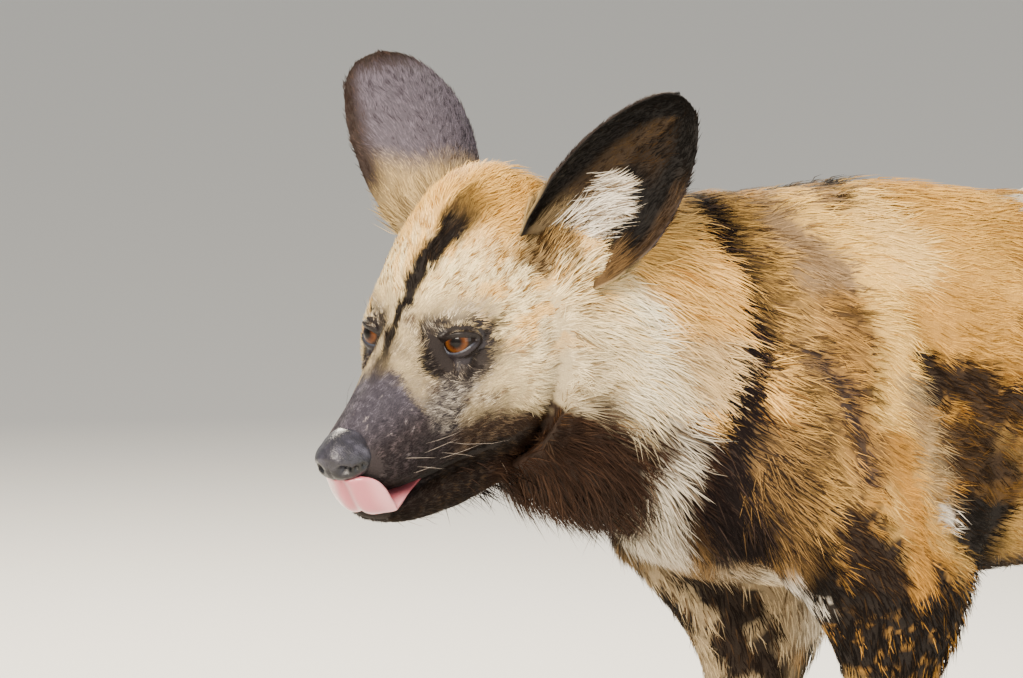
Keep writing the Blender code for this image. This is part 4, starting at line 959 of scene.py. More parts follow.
def face_paint(h):
    """Colours of the head, at places in its own frame: a cream mask, grizzled towards a mauve grey muzzle,
    brown below its lower edge, with dark skin round the eyes and a dark stripe up the forehead."""
    a, l, u = h.T
    side = np.abs(l)
    fine = waves(h, 0.006, 31)
    middle = waves(h, 0.016, 32)
    broad = waves(h, 0.045, 33)
    paint = Paint(len(h))
    paint.layer(1, "#f6e2c0", "#94734a", 0.33)
    paint.layer(ramp(-a, 0.015, 0.070) * ramp(u, 0.018, 0.050), "#f6c582", "#b98547", 0.30)
    paint.layer(ramp(-u, -0.010, 0.030) * ramp(-a, 0.005, 0.035), "#ddcdb4", "#9a866e", 0.35)
    warm = ramp(-a, 0.050, 0.085) * ramp(-u, -0.012, 0.020)
    paint.layer(warm * 0.8, "#f0cf9c", "#98754c", 0.32)
    streaks = ramp(waves(h * [0.4, 1, 1], 0.011, 56), 0.0, 0.7) * ramp(-a, 0.000, 0.030) * ramp(u, -0.040, -0.015)
    paint.layer(0.75 * streaks, "#f0c486", "#a5773f", 0.30)
    folded = np.stack([a, side, u], axis=-1)
    behind_eye, _ = line_distance(folded, [(-0.068, 0.052, 0.020), (-0.094, 0.064, 0.046)])
    paint.layer(0.9 * (1 - ramp(behind_eye + 0.006 * middle, 0.008, 0.022)), "#8a6f52", "#3a2b20", 0.42)
    grizzle = ramp(a, -0.030, 0.006) * (1 - ramp(u, 0.012, 0.030) * (1 - ramp(a, 0.000, 0.020)))
    paint.layer(grizzle * (0.75 + 0.2 * middle), "#75655a", "#d8cab4", 0.36)
    edge = np.interp(a, *zip(*FACE_EDGE))
    below = 1 - ramp(u - edge + 0.0050 * middle + 0.0030 * fine, -0.0080, 0.0110)
    below = np.maximum(below, ramp(a + 0.007 * middle + 0.004 * fine, 0.016, 0.060))
    dark = Paint(len(h))
    dark.layer(1, "#3f302b", "#7d6a5c", 0.25)
    dark.layer(ramp(-a, 0.004, 0.030), "#35241b", "#5a4130", 0.25)
    dark.layer(ramp(a, 0.020, 0.046), "#2f282b", "#655a5d", 0.26)
    dark.layer(ramp(a, 0.026, 0.052) * ramp(u, -0.034, -0.010), "#4c4952", "#7e7984", 0.28)
    dark.layer(ramp(a, 0.030, 0.055) * (1 - ramp(u, -0.058, -0.044)), "#2b2325", "#55484a", 0.20)
    fleck = ramp(waves(h, 0.0042, 34) + waves(h, 0.009, 35), 2.00, 2.25) * ramp(a, 0.030, 0.050) * ramp(u, -0.050, -0.030)
    dark.layer(0.6 * fleck, "#b9aeb0", "#8a8086", 0.3)
    paint.over(dark, below)
    for flip in (1, -1):
        at = h * [1, flip, 1]
        patch, _ = line_distance(at, [(0.006, 0.038, -0.014), (0.020, 0.034, -0.023), (0.032, 0.033, -0.031)])
        paint.layer(0.95 * (1 - ramp(patch + 0.003 * middle, 0.0080, 0.0180)), "#413d42", "#b9b0a8", 0.32)
        corner, _ = line_distance(at, [(0.008, 0.020, 0.003), (0.022, 0.023, -0.006)])
        paint.layer(1 - ramp(corner + 0.0015 * middle, 0.0065, 0.0120), "#1d1817", "#5a524e", 0.12)
        outer_corner, _ = line_distance(at, [(-0.012, 0.041, -0.003), (-0.024, 0.044, 0.001)])
        paint.layer(1 - ramp(outer_corner, 0.0020, 0.0050), "#1d1817", "#4a423e", 0.12)
        distance, _, _ = from_margin(at, 1)
        under = ramp(-(at @ eye_frame(1)[3] - eye_frame(1)[0] @ eye_frame(1)[3]), -0.002, 0.006)
        ring = 1 - ramp(distance + 0.0022 * fine, 0.0020 + 0.003 * under, 0.0090 + 0.009 * under)
        paint.layer(ring, "#37302f", "#877d76", 0.25)
        brow, _ = line_distance(at, [(0.004, 0.020, 0.008), (-0.006, 0.030, 0.011), (-0.020, 0.040, 0.009)])
        paint.layer(0.45 * (1 - ramp(brow + 0.002 * middle, 0.0030, 0.0090)), "#6f655f", "#ded3c5", 0.45)
    stripe = np.asarray(STRIPE)
    flat = np.array([1, 1, 0.25])
    away, share = line_distance((h + 0.0012 * middle[:, None]) * flat, stripe[:, :3] * flat)
    index = share * (len(STRIPE) - 1)
    width = np.interp(index, range(len(STRIPE)), stripe[:, 3])
    strength = np.interp(index, range(len(STRIPE)), stripe[:, 4])
    width = width * (1 + 0.2 * ramp(-a, 0.010, 0.040))
    mask = (1 - ramp(away + 0.0010 * fine, width * 0.70, width * 1.45)) * ramp(strength, 0.10, 0.95)
    paint.layer(mask * (u > -0.03), "#1d1410", "#4c3b30", 0.14)
    lips = 1 - ramp(np.abs(u - np.interp(a, [-0.02, 0.03, 0.08], [-0.077, -0.0735, -0.0645])), 0.003, 0.0075)
    paint.layer(lips * ramp(a, -0.030, -0.010) * ramp(side, 0.004, 0.012), "#1b1413", "#3a2f2c", 0.2)
    chin = 1 - ramp(u, -0.080, -0.073)
    paint.layer(chin * ramp(a, -0.05, -0.03), "#261a15", "#54453b", 0.20)
    shade = 1 + 0.07 * broad
    paint.ground *= shade[:, None]
    paint.second *= shade[:, None]
    return paint


# Pale streak down the breast and the front of the far foreleg, as x and z
BREAST_STREAK = [(-0.320, 0.480), (-0.270, 0.480), (-0.235, 0.455), (-0.190, 0.425), (-0.140, 0.392)]
# Markings of the near side, each a line of x and z, half widths at its ends, ground colour, second
# colour and its share, how mottled its edge is and how strong it is
NEAR_MARKINGS = [
    ([(-0.242, 0.640), (-0.240, 0.560), (-0.235, 0.500)], 0.044, 0.052, "#c39e6e", "#5b4534", 0.38, 0.5, 1.0),
    ([(-0.200, 0.665), (-0.190, 0.640)], 0.030, 0.026, "#a98f78", "#7d6552", 0.35, 0.6, 1.0),
    ([(-0.190, 0.600), (-0.185, 0.520)], 0.024, 0.020, "#bc9363", "#5d4636", 0.38, 0.6, 1.0),
    ([(-0.130, 0.650), (-0.060, 0.640), (0.000, 0.640)], 0.040, 0.045, "#e0b272", "#b98a55", 0.28, 0.4, 1.0),
    ([(-0.120, 0.605), (-0.085, 0.595)], 0.026, 0.022, "#d3a468", "#97703f", 0.28, 0.5, 1.0),
    ([(-0.200, 0.676), (-0.165, 0.640), (-0.158, 0.590), (-0.172, 0.548)], 0.012, 0.015, "#f2cb8e", "#c0935a", 0.30, 0.5, 0.95),
    ([(-0.150, 0.668), (-0.135, 0.640)], 0.016, 0.020, "#f0cd98", "#cfa46c", 0.24, 0.4, 0.9),
    ([(-0.125, 0.565), (-0.060, 0.535), (-0.020, 0.540)], 0.012, 0.028, "#2e2018", "#5d442c", 0.30, 1.0, 1.0),
    ([(-0.115, 0.520), (-0.060, 0.500)], 0.026, 0.034, "#35261b", "#6f5234", 0.32, 1.2, 1.0),
    ([(-0.105, 0.470), (-0.050, 0.450)], 0.022, 0.030, "#1b130e", "#4a3523", 0.16, 0.6, 1.0),
    ([(-0.100, 0.492), (-0.060, 0.486)], 0.005, 0.008, "#8c6a43", "#4a3523", 0.35, 1.0, 0.8),
    ([(-0.150, 0.560), (-0.142, 0.520), (-0.135, 0.482)], 0.010, 0.010, "#b09c84", "#6f5d4b", 0.42, 0.8, 0.7),
    ([(-0.133, 0.482), (-0.128, 0.474)], 0.005, 0.006, "#e8e0d6", "#8d8077", 0.30, 0.5, 1.0),
    ([(-0.218, 0.585), (-0.202, 0.558), (-0.195, 0.530), (-0.190, 0.505)], 0.0045, 0.0055, "#3b2d2c", "#6d5850", 0.25, 0.9, 1.0),
    ([(-0.235, 0.600), (-0.225, 0.575)], 0.004, 0.005, "#5a463e", "#8a7260", 0.35, 1.2, 0.8),
    ([(-0.225, 0.540), (-0.232, 0.520)], 0.004, 0.006, "#4a3830", "#7d6552", 0.35, 1.2, 0.8),
    ([(-0.205, 0.475), (-0.185, 0.455), (-0.180, 0.420)], 0.018, 0.024, "#2a1e1a", "#5f4836", 0.26, 1.2, 1.0),
    ([(-0.262, 0.490), (-0.235, 0.465), (-0.215, 0.430), (-0.200, 0.395)], 0.016, 0.022, "#1b1411", "#45352a", 0.18, 0.7, 1.0),
    ([(-0.256, 0.482), (-0.248, 0.486)], 0.004, 0.005, "#a57f4f", "#5f4631", 0.30, 1.0, 0.9),
    ([(-0.215, 0.405), (-0.165, 0.400), (-0.120, 0.405)], 0.030, 0.034, "#1c1411", "#4a382a", 0.22, 0.8, 1.0),
    ([(-0.170, 0.530), (-0.160, 0.490), (-0.153, 0.460), (-0.147, 0.434)], 0.008, 0.010, "#c6955a", "#7f5c38", 0.26, 0.4, 1.0),
    ([(-0.235, 0.455), (-0.228, 0.440), (-0.218, 0.428), (-0.205, 0.424)], 0.0028, 0.0030, "#e6dfd6", "#6d6058", 0.30, 0.7, 0.95),
]


def body_paint(p):
    """Colours of the trunk, neck, legs and tail: ochre, black and white patches from warped random fields,
    and on the near side the patches of its list; the neck cream over ochre with a brown throat, the tail
    ochre, then black, then white."""
    x, y, z = p.T
    fine = waves(p, 0.010, 41)
    middle = waves(p, 0.028, 42)
    broad = waves(p, 0.090, 43)
    warped = p + 0.014 * np.stack([waves(p, 0.050, s) for s in (44, 45, 46)], axis=-1)
    ochre = waves(warped, 0.115, 47) + 0.25 * middle
    white = waves(warped * [1, 1, 0.9], 0.088, 48) + 0.25 * middle
    paint = Paint(len(p))
    paint.layer(1, "#2b1e15", "#543c29", 0.18)
    paint.layer(ramp(ochre, 0.02, 0.14), "#bd9159", "#8a6339", 0.32)
    paint.layer(ramp(ochre, 0.62, 0.86), "#d2ad78", "#a67c4c", 0.30)
    low = 1 - ramp(z, 0.22, 0.42)
    thigh = ramp(-x, 0.02, 0.06) * ramp(z, 0.30, 0.36)
    paint.layer(ramp(white - thigh, 0.66 - 0.62 * low, 0.76 - 0.58 * low), "#ebe3d7", "#b7a68f", 0.25)
    back = ramp(z, 0.665, 0.690) * ramp(x, -0.12, -0.02)
    paint.layer(back * ramp(middle, -0.6, 0.2) * 0.8, "#3a2a1c", "#7c5d3b", 0.30)
    belly = (1 - ramp(z, 0.435, 0.455)) * (1 - ramp(np.abs(y), 0.04, 0.07)) * ramp(z, 0.38, 0.42)
    paint.layer(belly, "#3b2c20", "#7a6249", 0.30)
    near = 1 - ramp(x + 0.012 * middle, -0.075, -0.035)
    near = near * ramp(z, 0.315, 0.365)
    left = near * ramp(-y, -0.010, 0.020)
    mottle = 0.55 * fine + 0.45 * waves(p, 0.018, 49)
    for line, start, end, ground, second, share, rough, strength in NEAR_MARKINGS:
        away, along = line_distance(np.stack([x, z], axis=-1), line)
        away = away / (start + (end - start) * along) + 0.35 * rough * mottle
        paint.layer(left * strength * (1 - ramp(away, 0.72, 1.20)), ground, second, share)
    blotch = ramp(waves(p, 0.013, 53) + 0.7 * waves(p, 0.030, 54), 0.45, 0.85) * ramp(-x, 0.165, 0.185)
    blotch = blotch * ramp(z, 0.43, 0.47) * (1 - ramp(z, 0.60, 0.66))
    paint.layer(0.85 * blotch * left, "#2e211b", "#6b5340", 0.25)
    breast, _ = line_distance(np.stack([x, z], axis=-1), BREAST_STREAK)
    breast = (1 - ramp(breast + 0.004 * mottle, 0.015, 0.024)) * ramp(y, -0.062, -0.046)
    paint.layer(breast, "#e3d6c4", "#a08c78", 0.30)
    paint.layer(breast * ramp(waves(p, 0.020, 52), 0.50, 0.80), "#4a3a30", "#7d6a5c", 0.30)
    far_leg = ramp(y, -0.030, 0.0) * ramp(-x, 0.13, 0.16) * (1 - ramp(z, 0.43, 0.46)) * ramp(z, 0.27, 0.33)
    paint.layer(far_leg * (1 - ramp(y, 0.075, 0.100)), "#cbb79e", "#6f5948", 0.36)
    paint.layer(far_leg * ramp(waves(p, 0.040, 55), -0.25, 0.05), "#2a1f1a", "#5f4a3c", 0.22)
    spots = ramp(waves(p, 0.010, 50) + 0.3 * mottle, 0.75, 1.00) * (1 - ramp(z, 0.405, 0.425)) * ramp(-x, 0.0, 0.02)
    paint.layer(0.9 * spots * (y < 0), "#b98d55", "#6d5030", 0.30)
    paint.layer((1 - ramp(z, 0.052, 0.062)) * ramp(-white, -0.6, 0.4), "#cbbfae", "#8a7864", 0.35)
    paint.layer((1 - ramp(z, 0.014, 0.022)) * 0.75, "#4a3d35", "#6f6054", 0.30)
    neck = neck_paint(p, fine, middle, broad)
    mask = ramp(-x - 0.12 * (z - 0.56) + 0.004 * middle, 0.232, 0.252) * ramp(z, 0.43, 0.46)
    paint.over(neck, mask)
    tail = Paint(len(p))
    tail.layer(1, "#b88a52", "#7d5a36", 0.30)
    tail.layer(1 - ramp(z + 0.008 * middle, 0.500, 0.525), "#1d140e", "#4a3627", 0.15)
    tail.layer(1 - ramp(z + 0.010 * middle, 0.385, 0.405), "#ece6db", "#c9bda9", 0.25)
    paint.over(tail, on_tail(p))
    shade = 1 + 0.08 * broad + 0.05 * fine
    paint.ground *= shade[:, None]
    paint.second *= shade[:, None]
    return paint


# The dark collar before the shoulder and the pale strip down the chest, as x and z
COLLAR = [
    (-0.245, 0.720), (-0.254, 0.686), (-0.250, 0.640), (-0.255, 0.604), (-0.263, 0.570), (-0.272, 0.536),
    (-0.275, 0.502), (-0.258, 0.468),
]  # fmt: skip
CHEST_STRIP = [(-0.302, 0.560), (-0.308, 0.540), (-0.311, 0.515), (-0.308, 0.490), (-0.298, 0.466), (-0.276, 0.446)]


def neck_paint(p, fine, middle, broad):
    """Colours of the neck: ochre on top, a cream patch behind the cheek, a pale fold, a brown shaggy throat
    and a dark collar before the shoulder."""
    x, y, z = p.T
    seen = np.stack([x, z], axis=-1) + 0.0025 * np.stack([middle, fine], axis=-1)
    neck = Paint(len(p))
    neck.layer(1, "#efc288", "#c08c54", 0.28)
    neck.layer(ramp(z, 0.655, 0.675), "#cfac80", "#a5835a", 0.35)
    neck.layer(ramp(-x, 0.295, 0.315) * (1 - ramp(z, 0.585, 0.602)), "#efdfc6", "#b39a7c", 0.28)
    cream = np.hypot((x + 0.364) / 0.042, (z - 0.600) / 0.048) + 0.10 * middle
    neck.layer(1 - ramp(cream, 0.75, 1.25), "#fcefd8", "#e6c695", 0.22)
    pale = np.hypot((x + 0.290) / 0.030, (z - 0.580) / 0.026) + 0.12 * middle
    neck.layer(0.8 * (1 - ramp(pale, 0.7, 1.2)), "#dcc3a3", "#b09a80", 0.30)
    neck.layer(ramp(-x, 0.362, 0.378) * (1 - ramp(z, 0.580, 0.600)), "#a58f78", "#5a4030", 0.40)
    shadow = np.hypot((x + 0.374) / 0.020, (z - 0.562) / 0.022)
    neck.layer(0.7 * (1 - ramp(shadow, 0.6, 1.3)), "#b7a08a", "#8a735c", 0.35)
    throat = 1 - ramp(z - 0.548 - 0.030 * ramp(-x, 0.350, 0.376) + 0.007 * middle + 0.003 * fine, -0.012, 0.012)
    neck.layer(throat, "#3e2b24", "#5b443b", 0.26)
    neck.layer(throat * ramp(x, -0.288, -0.272), "#9c7d5b", "#382a22", 0.45)
    behind = ramp(x + 0.30 * (z - 0.60), -0.246, -0.232) * ramp(z, 0.56, 0.60)
    neck.layer(behind, "#8c745f", "#b3967a", 0.30)
    strip, along = line_distance(seen, CHEST_STRIP)
    width = np.interp(along, [0, 0.3, 0.8, 1], [0.006, 0.010, 0.010, 0.006])
    neck.layer(0.92 * (1 - ramp(strip, width * 0.6, width * 1.4)), "#ddd3c5", "#8f7d6e", 0.28)
    collar, along = line_distance(seen, COLLAR)
    width = np.interp(along, np.linspace(0, 1, 8), [0.026, 0.025, 0.017, 0.009, 0.010, 0.013, 0.015, 0.014])
    neck.layer(1 - ramp(collar / width + 0.25 * fine, 0.85, 1.40), "#251b1c", "#574642", 0.18)
    return neck


def on_tail(p):
    """1 on the tail and 0 elsewhere."""
    x, _, z = p.T
    return np.maximum(ramp(x, 0.424, 0.436) * ramp(z, 0.235, 0.24), ramp(x, 0.396, 0.412) * ramp(z, 0.545, 0.56))


def on_head(p):
    """1 on the head and 0 behind the ruff's front edge, by a leaning border in the head's own frame."""
    h = to_head(p)
    border = -0.092 - 0.45 * h[:, 2] + 0.009 * waves(p, 0.03, 51)
    border = np.where(h[:, 2] < -0.050, border + 0.9 * (-0.050 - h[:, 2]), border)
    return ramp(h[:, 0] - border, -0.014, 0.018) * ramp(p[:, 2], 0.45, 0.47) * (p[:, 0] < -0.30)


def coat_paint(p):
    """Colours of the whole coat: the face's over the body's."""
    paint = body_paint(p)
    mask = on_head(p)
    paint.over(face_paint(to_head(p)), mask)
    return paint


def hair_at(p, n):
    """Length, width, lift in degrees, sag and lie of the hairs at places with their outward directions, in
    layers: each later region covers the earlier ones by its mask."""
    x, y, z = p.T
    nz = n[:, 2]
    side = np.sign(y)
    h = to_head(p)
    a, l, u = h.T
    hair = np.zeros((len(p), 7))

    def layer(mask, length, width, lift, sag, lie):
        """Covers the rows by a mask; the lengths are millimetres."""
        values = [np.broadcast_to(np.asarray(v, float), x.shape) for v in (length, width, lift, sag, *lie)]
        rows = np.stack(values, axis=-1) * [0.001, 0.001, 1, 1, 1, 1, 1]
        mask = np.broadcast_to(np.asarray(mask, float), x.shape)[:, None]
        hair[:] = hair + mask * (rows - hair)

    top = ramp(nz, 0.2, 0.85)
    under = ramp(-nz, 0.3, 0.9)
    layer(1, 15 + 5 * top - 1 * under, 0.80, 12, 0.06, (1, 0, -0.28 + 0.24 * top + 0.2 * under))
    layer(ramp(-x, 0.10, 0.16) * (1 - top), 14, 0.75, 12, 0.08, (0.9, 0, -0.45))
    layer(ramp(x, 0.29, 0.36) * (1 - 0.7 * top), 18, 0.9, 13, 0.06, (0.6, 0, -0.8))
    withers = np.exp(-(((x + 0.125) / 0.07) ** 2) - (y / 0.035) ** 2) * ramp(nz, 0.5, 0.8)
    layer(withers, 32, 1.2, 24, 0.10, (1, 0.4 * side, 0))
    chest = ramp(-x, 0.22, 0.26) * (1 - ramp(z, 0.52, 0.56))
    layer(chest, 15, 0.80, 13, 0.12, (0.3, 0, -1))
    leg = 1 - ramp(z, 0.40, 0.47)
    fore, hind = leg * ramp(-x, 0.0, 0.02), leg * ramp(x, 0.0, 0.02)
    length = np.interp(z, [0.05, 0.08, 0.15, 0.25, 0.35, 0.45], [5.5, 6.5, 8.5, 10, 12, 16])
    behind = ramp(n[:, 0], 0.2, 0.8)
    layer(fore, length * (1 + 0.35 * behind), 1.0, 12 + 6 * behind, 0.05, (0.12 + 0.25 * ramp(z, 0.30, 0.45), 0, -1))
    slope = np.interp(z, [0.10, 0.20, 0.30, 0.45], [-0.12, -0.05, 0.45, 0.6])
    layer(hind, length * (1 + 0.3 * behind), 1.0, 12 + 6 * behind, 0.05, (slope, 0, -1))
    layer(1 - ramp(z, 0.045, 0.065), 4.5, 0.85, 9, 0, (-1, 0, -0.45))
    neck = ramp(-x - 0.12 * (z - 0.56), 0.205, 0.255) * ramp(z, 0.45, 0.49)
    low = ramp(-nz, 0.25, 0.75)
    layer(neck, 27 - 5 * top, 0.85, 15 + 2 * low, 0.08, (1, 0, -0.55 + 0.5 * top))
    throat = neck * low * ramp(-x, 0.24, 0.28)
    layer(throat, 30, 0.85, 24, 0.22, (0.75, 0, -0.85))
    layer(neck * ramp(-x, 0.350, 0.390) * (1 - low), 24, 0.95, 16, 0.08, (1, 0.25 * side, -0.35))
    tail = on_tail(p)
    length = np.interp(z, [0.25, 0.33, 0.45, 0.52, 0.60], [34, 52, 44, 26, 18])
    layer(tail, length, 1.45, 16, 0, (0.25 * ramp(z, 0.52, 0.58), 0, -1))
    head = on_head(p)
    flip = np.sign(l)
    face = {}
    face["far"] = unit(np.stack([a - EYE_CENTRE[0], (np.abs(l) - EYE_CENTRE[1]) * flip, u - EYE_CENTRE[2]], axis=-1))
    distance = np.minimum(from_margin(h, 1)[0], from_margin(h, -1)[0])

    def lie_of(ahead, left, up, outward=0.0):
        """A lie in the head's frame, fanned out from the nearer eye, turned into the tables' frame."""
        way = np.stack([np.broadcast_to(ahead, x.shape), left * flip, np.broadcast_to(up, x.shape)], axis=-1)
        way = unit(way) + np.asarray(outward)[..., None] * face["far"]
        return (way @ HEAD_AXES).T

    around = 1.3 * np.exp(-((np.clip(distance, 0, 1) / 0.010) ** 2))
    back = ramp(-a, 0.030, 0.095)
    down = ramp(-u, -0.010, 0.045)
    layer(head, 9 + 9 * back, 0.72, 13 + 5 * back, 0.03, lie_of(-1, 0.10 + 0.20 * back, -0.25 - 0.3 * back, around))
    crown = head * ramp(u, 0.000, 0.030)
    layer(crown, 8 + 7 * back, 0.72, 13 + 7 * back, 0.02, lie_of(-1, 0.35, 0.35 - 0.3 * back, around))
    layer(head * down * ramp(-a, 0.040, 0.085), 22, 0.90, 17, 0.10, lie_of(-1, 0.4, -0.6))
    for root in (EAR_LEFT[0], EAR_RIGHT[0]):
        near = 1 - ramp(np.linalg.norm(h - root, axis=1), 0.018, 0.040)
        layer(near * head, 19, 0.80, 26, 0.02, lie_of(-0.75, 0.45, 0.55))
    layer(head * ramp(-a, 0.075, 0.110) * (1 - ramp(u, -0.01, 0.01)), 23, 0.92, 16, 0.08, lie_of(-1, 0.35, -0.35))
    middle_face = head * ramp(a, -0.015, 0.030)
    layer(middle_face, 5.5, 0.62, 10, 0, lie_of(-1, 0.10, -0.10, around))
    layer(head * ramp(a, 0.030, 0.055), 3.2, 0.50, 7, 0, lie_of(-1, 0.10, 0.05, around * 0.3))
    layer(head * (1 - ramp(u, -0.078, -0.070)), 5.5, 0.60, 12, 0.05, lie_of(-1, 0.0, -0.15))
    layer(head * (1 - ramp(u, -0.086, -0.078)) * ramp(-a, 0.00, 0.04), 14, 0.9, 20, 0.15, lie_of(-1, 0, -0.5))
    close = head * (1 - ramp(distance, 0.0040, 0.0110))
    layer(close, 3.0, 0.50, 9, 0, lie_of(-0.4, 0.0, 0.0, around + 0.5))
    return hair


def spread(points, faces, weight, count, seed):
    """Random places on a surface: faces drawn by area times weight, then an even place on each. Gives the
    places and the weights of the face's corners."""
    random = np.random.default_rng(seed)
    corners = points[faces[:, :3]]
    area = np.linalg.norm(np.cross(corners[:, 1] - corners[:, 0], corners[:, 2] - corners[:, 0]), axis=1)
    total = np.cumsum(area * weight)
    chosen = np.searchsorted(total, random.uniform(0, total[-1], count))
    one, two = random.uniform(size=(2, count))
    flip = one + two > 1
    one, two = np.where(flip, 1 - one, one), np.where(flip, 1 - two, two)
    shares = np.stack([1 - one - two, one, two], axis=-1)
    return chosen, shares


def split_quads(faces):
    """Four-cornered faces as triangles."""
    if faces.shape[1] == 3:
        return faces
    return np.concatenate([faces[:, [0, 1, 2]], faces[:, [0, 2, 3]]])


def tufts(roots, normals, hair, tints, long, seed, soft=0.65):
    """Tufts of hair as closed spindles: a root sunk in the skin, one or two rings of three points and a tip
    on the curve root + lie * L t cos(lift) + normal * L sin(lift) (t - t^2 / 2) - up * sag L t^2. Each is
    flat, half as deep as wide. Its shading direction is mixed from the skin's and its own. Gives points,
    faces, colours, shading directions and places within the tuft's patch of the coat's map."""
    random = np.random.default_rng(seed)
    count = len(roots)
    length, width, lift, sag = hair[:, 0], hair[:, 1], np.radians(hair[:, 2]), hair[:, 3]
    noise = np.stack([waves(roots, 0.013, s) for s in (61, 62, 63)], axis=-1) * 0.20
    noise += np.stack([waves(roots, 0.045, s) for s in (64, 65, 66)], axis=-1) * 0.16
    lie = unit(hair[:, 4:7]) + noise + random.normal(size=(count, 3)) * 0.10
    lie = unit(lie - normals * np.sum(lie * normals, axis=1, keepdims=True))
    length = length * np.clip(random.normal(1.0, 0.18, count), 0.5, 1.6) * (1 + 0.10 * waves(roots, 0.02, 67))
    lift = lift * np.clip(random.normal(1.0, 0.30, count), 0.2, 2.0)
    width = width * random.uniform(0.75, 1.25, count)
    across = np.cross(normals, lie)
    stops = [(0.0, 0.55), (0.30, 1.0), (0.68, 0.62), (1.0, 0.0)] if long else [(0.0, 0.6), (0.38, 1.0), (1.0, 0.0)]
    curl = random.normal(0, 0.10, count)
    sunk_by = np.minimum(0.0010, 0.12 * length)[:, None]
    ring = [(0.0, 0.62), (0.87, -0.31), (-0.87, -0.31)]
    points, shading, patches, tint = [], [], [], []
    for t, size in stops:
        rise = t - 0.5 * t * t
        centre = (
            roots
            - normals * sunk_by * (1 - t)
            + lie * (length * t * np.cos(lift))[:, None]
            + normals * (length * np.sin(lift) * rise)[:, None]
            + across * (curl * length * t * t)[:, None]
            - np.array([0, 0, 1.0]) * (sag * length * t * t)[:, None]
        )
        if size in (0.55, 0.6):
            centre = centre - normals * sunk_by * 0.5
        spots = [(0.0, 0.0)] if size in (0.0, 0.55, 0.6) else ring
        for side, height in spots:
            offset = across * side + normals * height
            points.append(centre + offset * (width * 0.5 * size)[:, None])
            shading.append(soft * normals + (1 - soft) * unit(offset + 1e-9) if spots is ring else normals)
            patches.append(np.array([t, 0.5 + 0.5 * side]) * TUFT_PATCH)
            tint.append(t)
    per = len(points)
    points = np.stack(points, axis=1).reshape(-1, 3)
    shading = unit(np.stack(shading, axis=1).reshape(-1, 3))
    first = np.array([[0, 1, 2], [0, 2, 3], [0, 3, 1]])
    if long:
        wall = [[1, 5, 2], [1, 4, 5], [2, 6, 3], [2, 5, 6], [3, 4, 1], [3, 6, 4]]
        last = [[4, 7, 5], [5, 7, 6], [6, 7, 4]]
        pattern = np.concatenate([first, wall, last])
    else:
        pattern = np.concatenate([first, [[1, 4, 2], [2, 4, 3], [3, 4, 1]]])
    faces = (np.arange(count)[:, None, None] * per + pattern).reshape(-1, 3)
    tint = np.array(tint)
    # Painted shade among the hairs: each tuft darker at its root (0.80 of its colour) and lighter towards its tip
    # (1.07)
    bright = tints[:, None, :] * (0.80 + 0.27 * tint)[None, :, None]
    return points, faces, np.clip(bright, 0, 1).reshape(-1, 3), shading, np.array(patches), per


def drawn(paint, roots, seed):
    """One colour for each tuft: towards the second colour where a mix of chance and of a noise with
    clumps of 6.5 mm falls below its share, varied in brightness."""
    random = np.random.default_rng(seed)
    clump = 0.5 + 0.5 * np.tanh(0.9 * waves(roots, 0.0065, 72))
    value = 0.45 * random.uniform(size=len(roots)) + 0.55 * clump
    second = np.clip((paint.share * 1.15 - value) / 0.20 + 0.5, 0, 1)[:, None]
    tint = paint.ground + second * (paint.second - paint.ground)
    bright = np.clip(random.normal(1.0, 0.09, len(roots)), 0.7, 1.4) * (1 + 0.07 * waves(roots, 0.012, 71))
    return tint * bright[:, None]


def unwrap_head(p):
    """Share of the way down the head and share of a turn about its axis."""
    a, l, u = to_head(p).T
    return np.stack([(a + 0.19) / 0.32, np.arctan2(l, u + 0.04) / (2 * math.pi) + 0.5], axis=-1)


def unwrap_trunk(p):
    """Share of the way along the body and share of a turn about its axis."""
    x, y, z = p.T
    return np.stack([(x + 0.46) / 0.92, np.arctan2(y, z - 0.56) / (2 * math.pi) + 0.5], axis=-1)


def unwrap_legs(p):
    """Share of a turn about each leg, in half of the map a side, and share of the leg's height."""
    x, y, z = p.T
    middle = np.where(x < 0, np.interp(z, [0.05, 0.2, 0.5], [-0.165, -0.150, -0.165]), 0)
    middle = middle + np.where(x > 0, np.interp(z, [0.05, 0.2, 0.3, 0.5], [0.370, 0.375, 0.320, 0.285]), 0)
    turn = np.arctan2(np.abs(y) - 0.072, x - middle) / (2 * math.pi) + 0.5
    return np.stack([(turn * 0.96 + 0.02 + (y > 0)) / 2, z / 0.68], axis=-1)


def unwrap_tail(p):
    """Share of a turn about the tail and share of its height."""
    x, y, z = p.T
    axis = np.interp(z, [0.26, 0.34, 0.42, 0.50, 0.565, 0.60], [0.494, 0.487, 0.480, 0.468, 0.447, 0.415])
    return np.stack([np.arctan2(y, x - axis) / (2 * math.pi) + 0.5, (z - 0.20) / 0.46], axis=-1)


def ear_line(t):
    """Where the outer part of an ear's front ends and the opening begins, across the ear, at a share of
    its length."""
    return np.interp(t, [0.0, 0.60, 0.82, 1.0], [-0.12, 0.02, 0.30, 0.60])


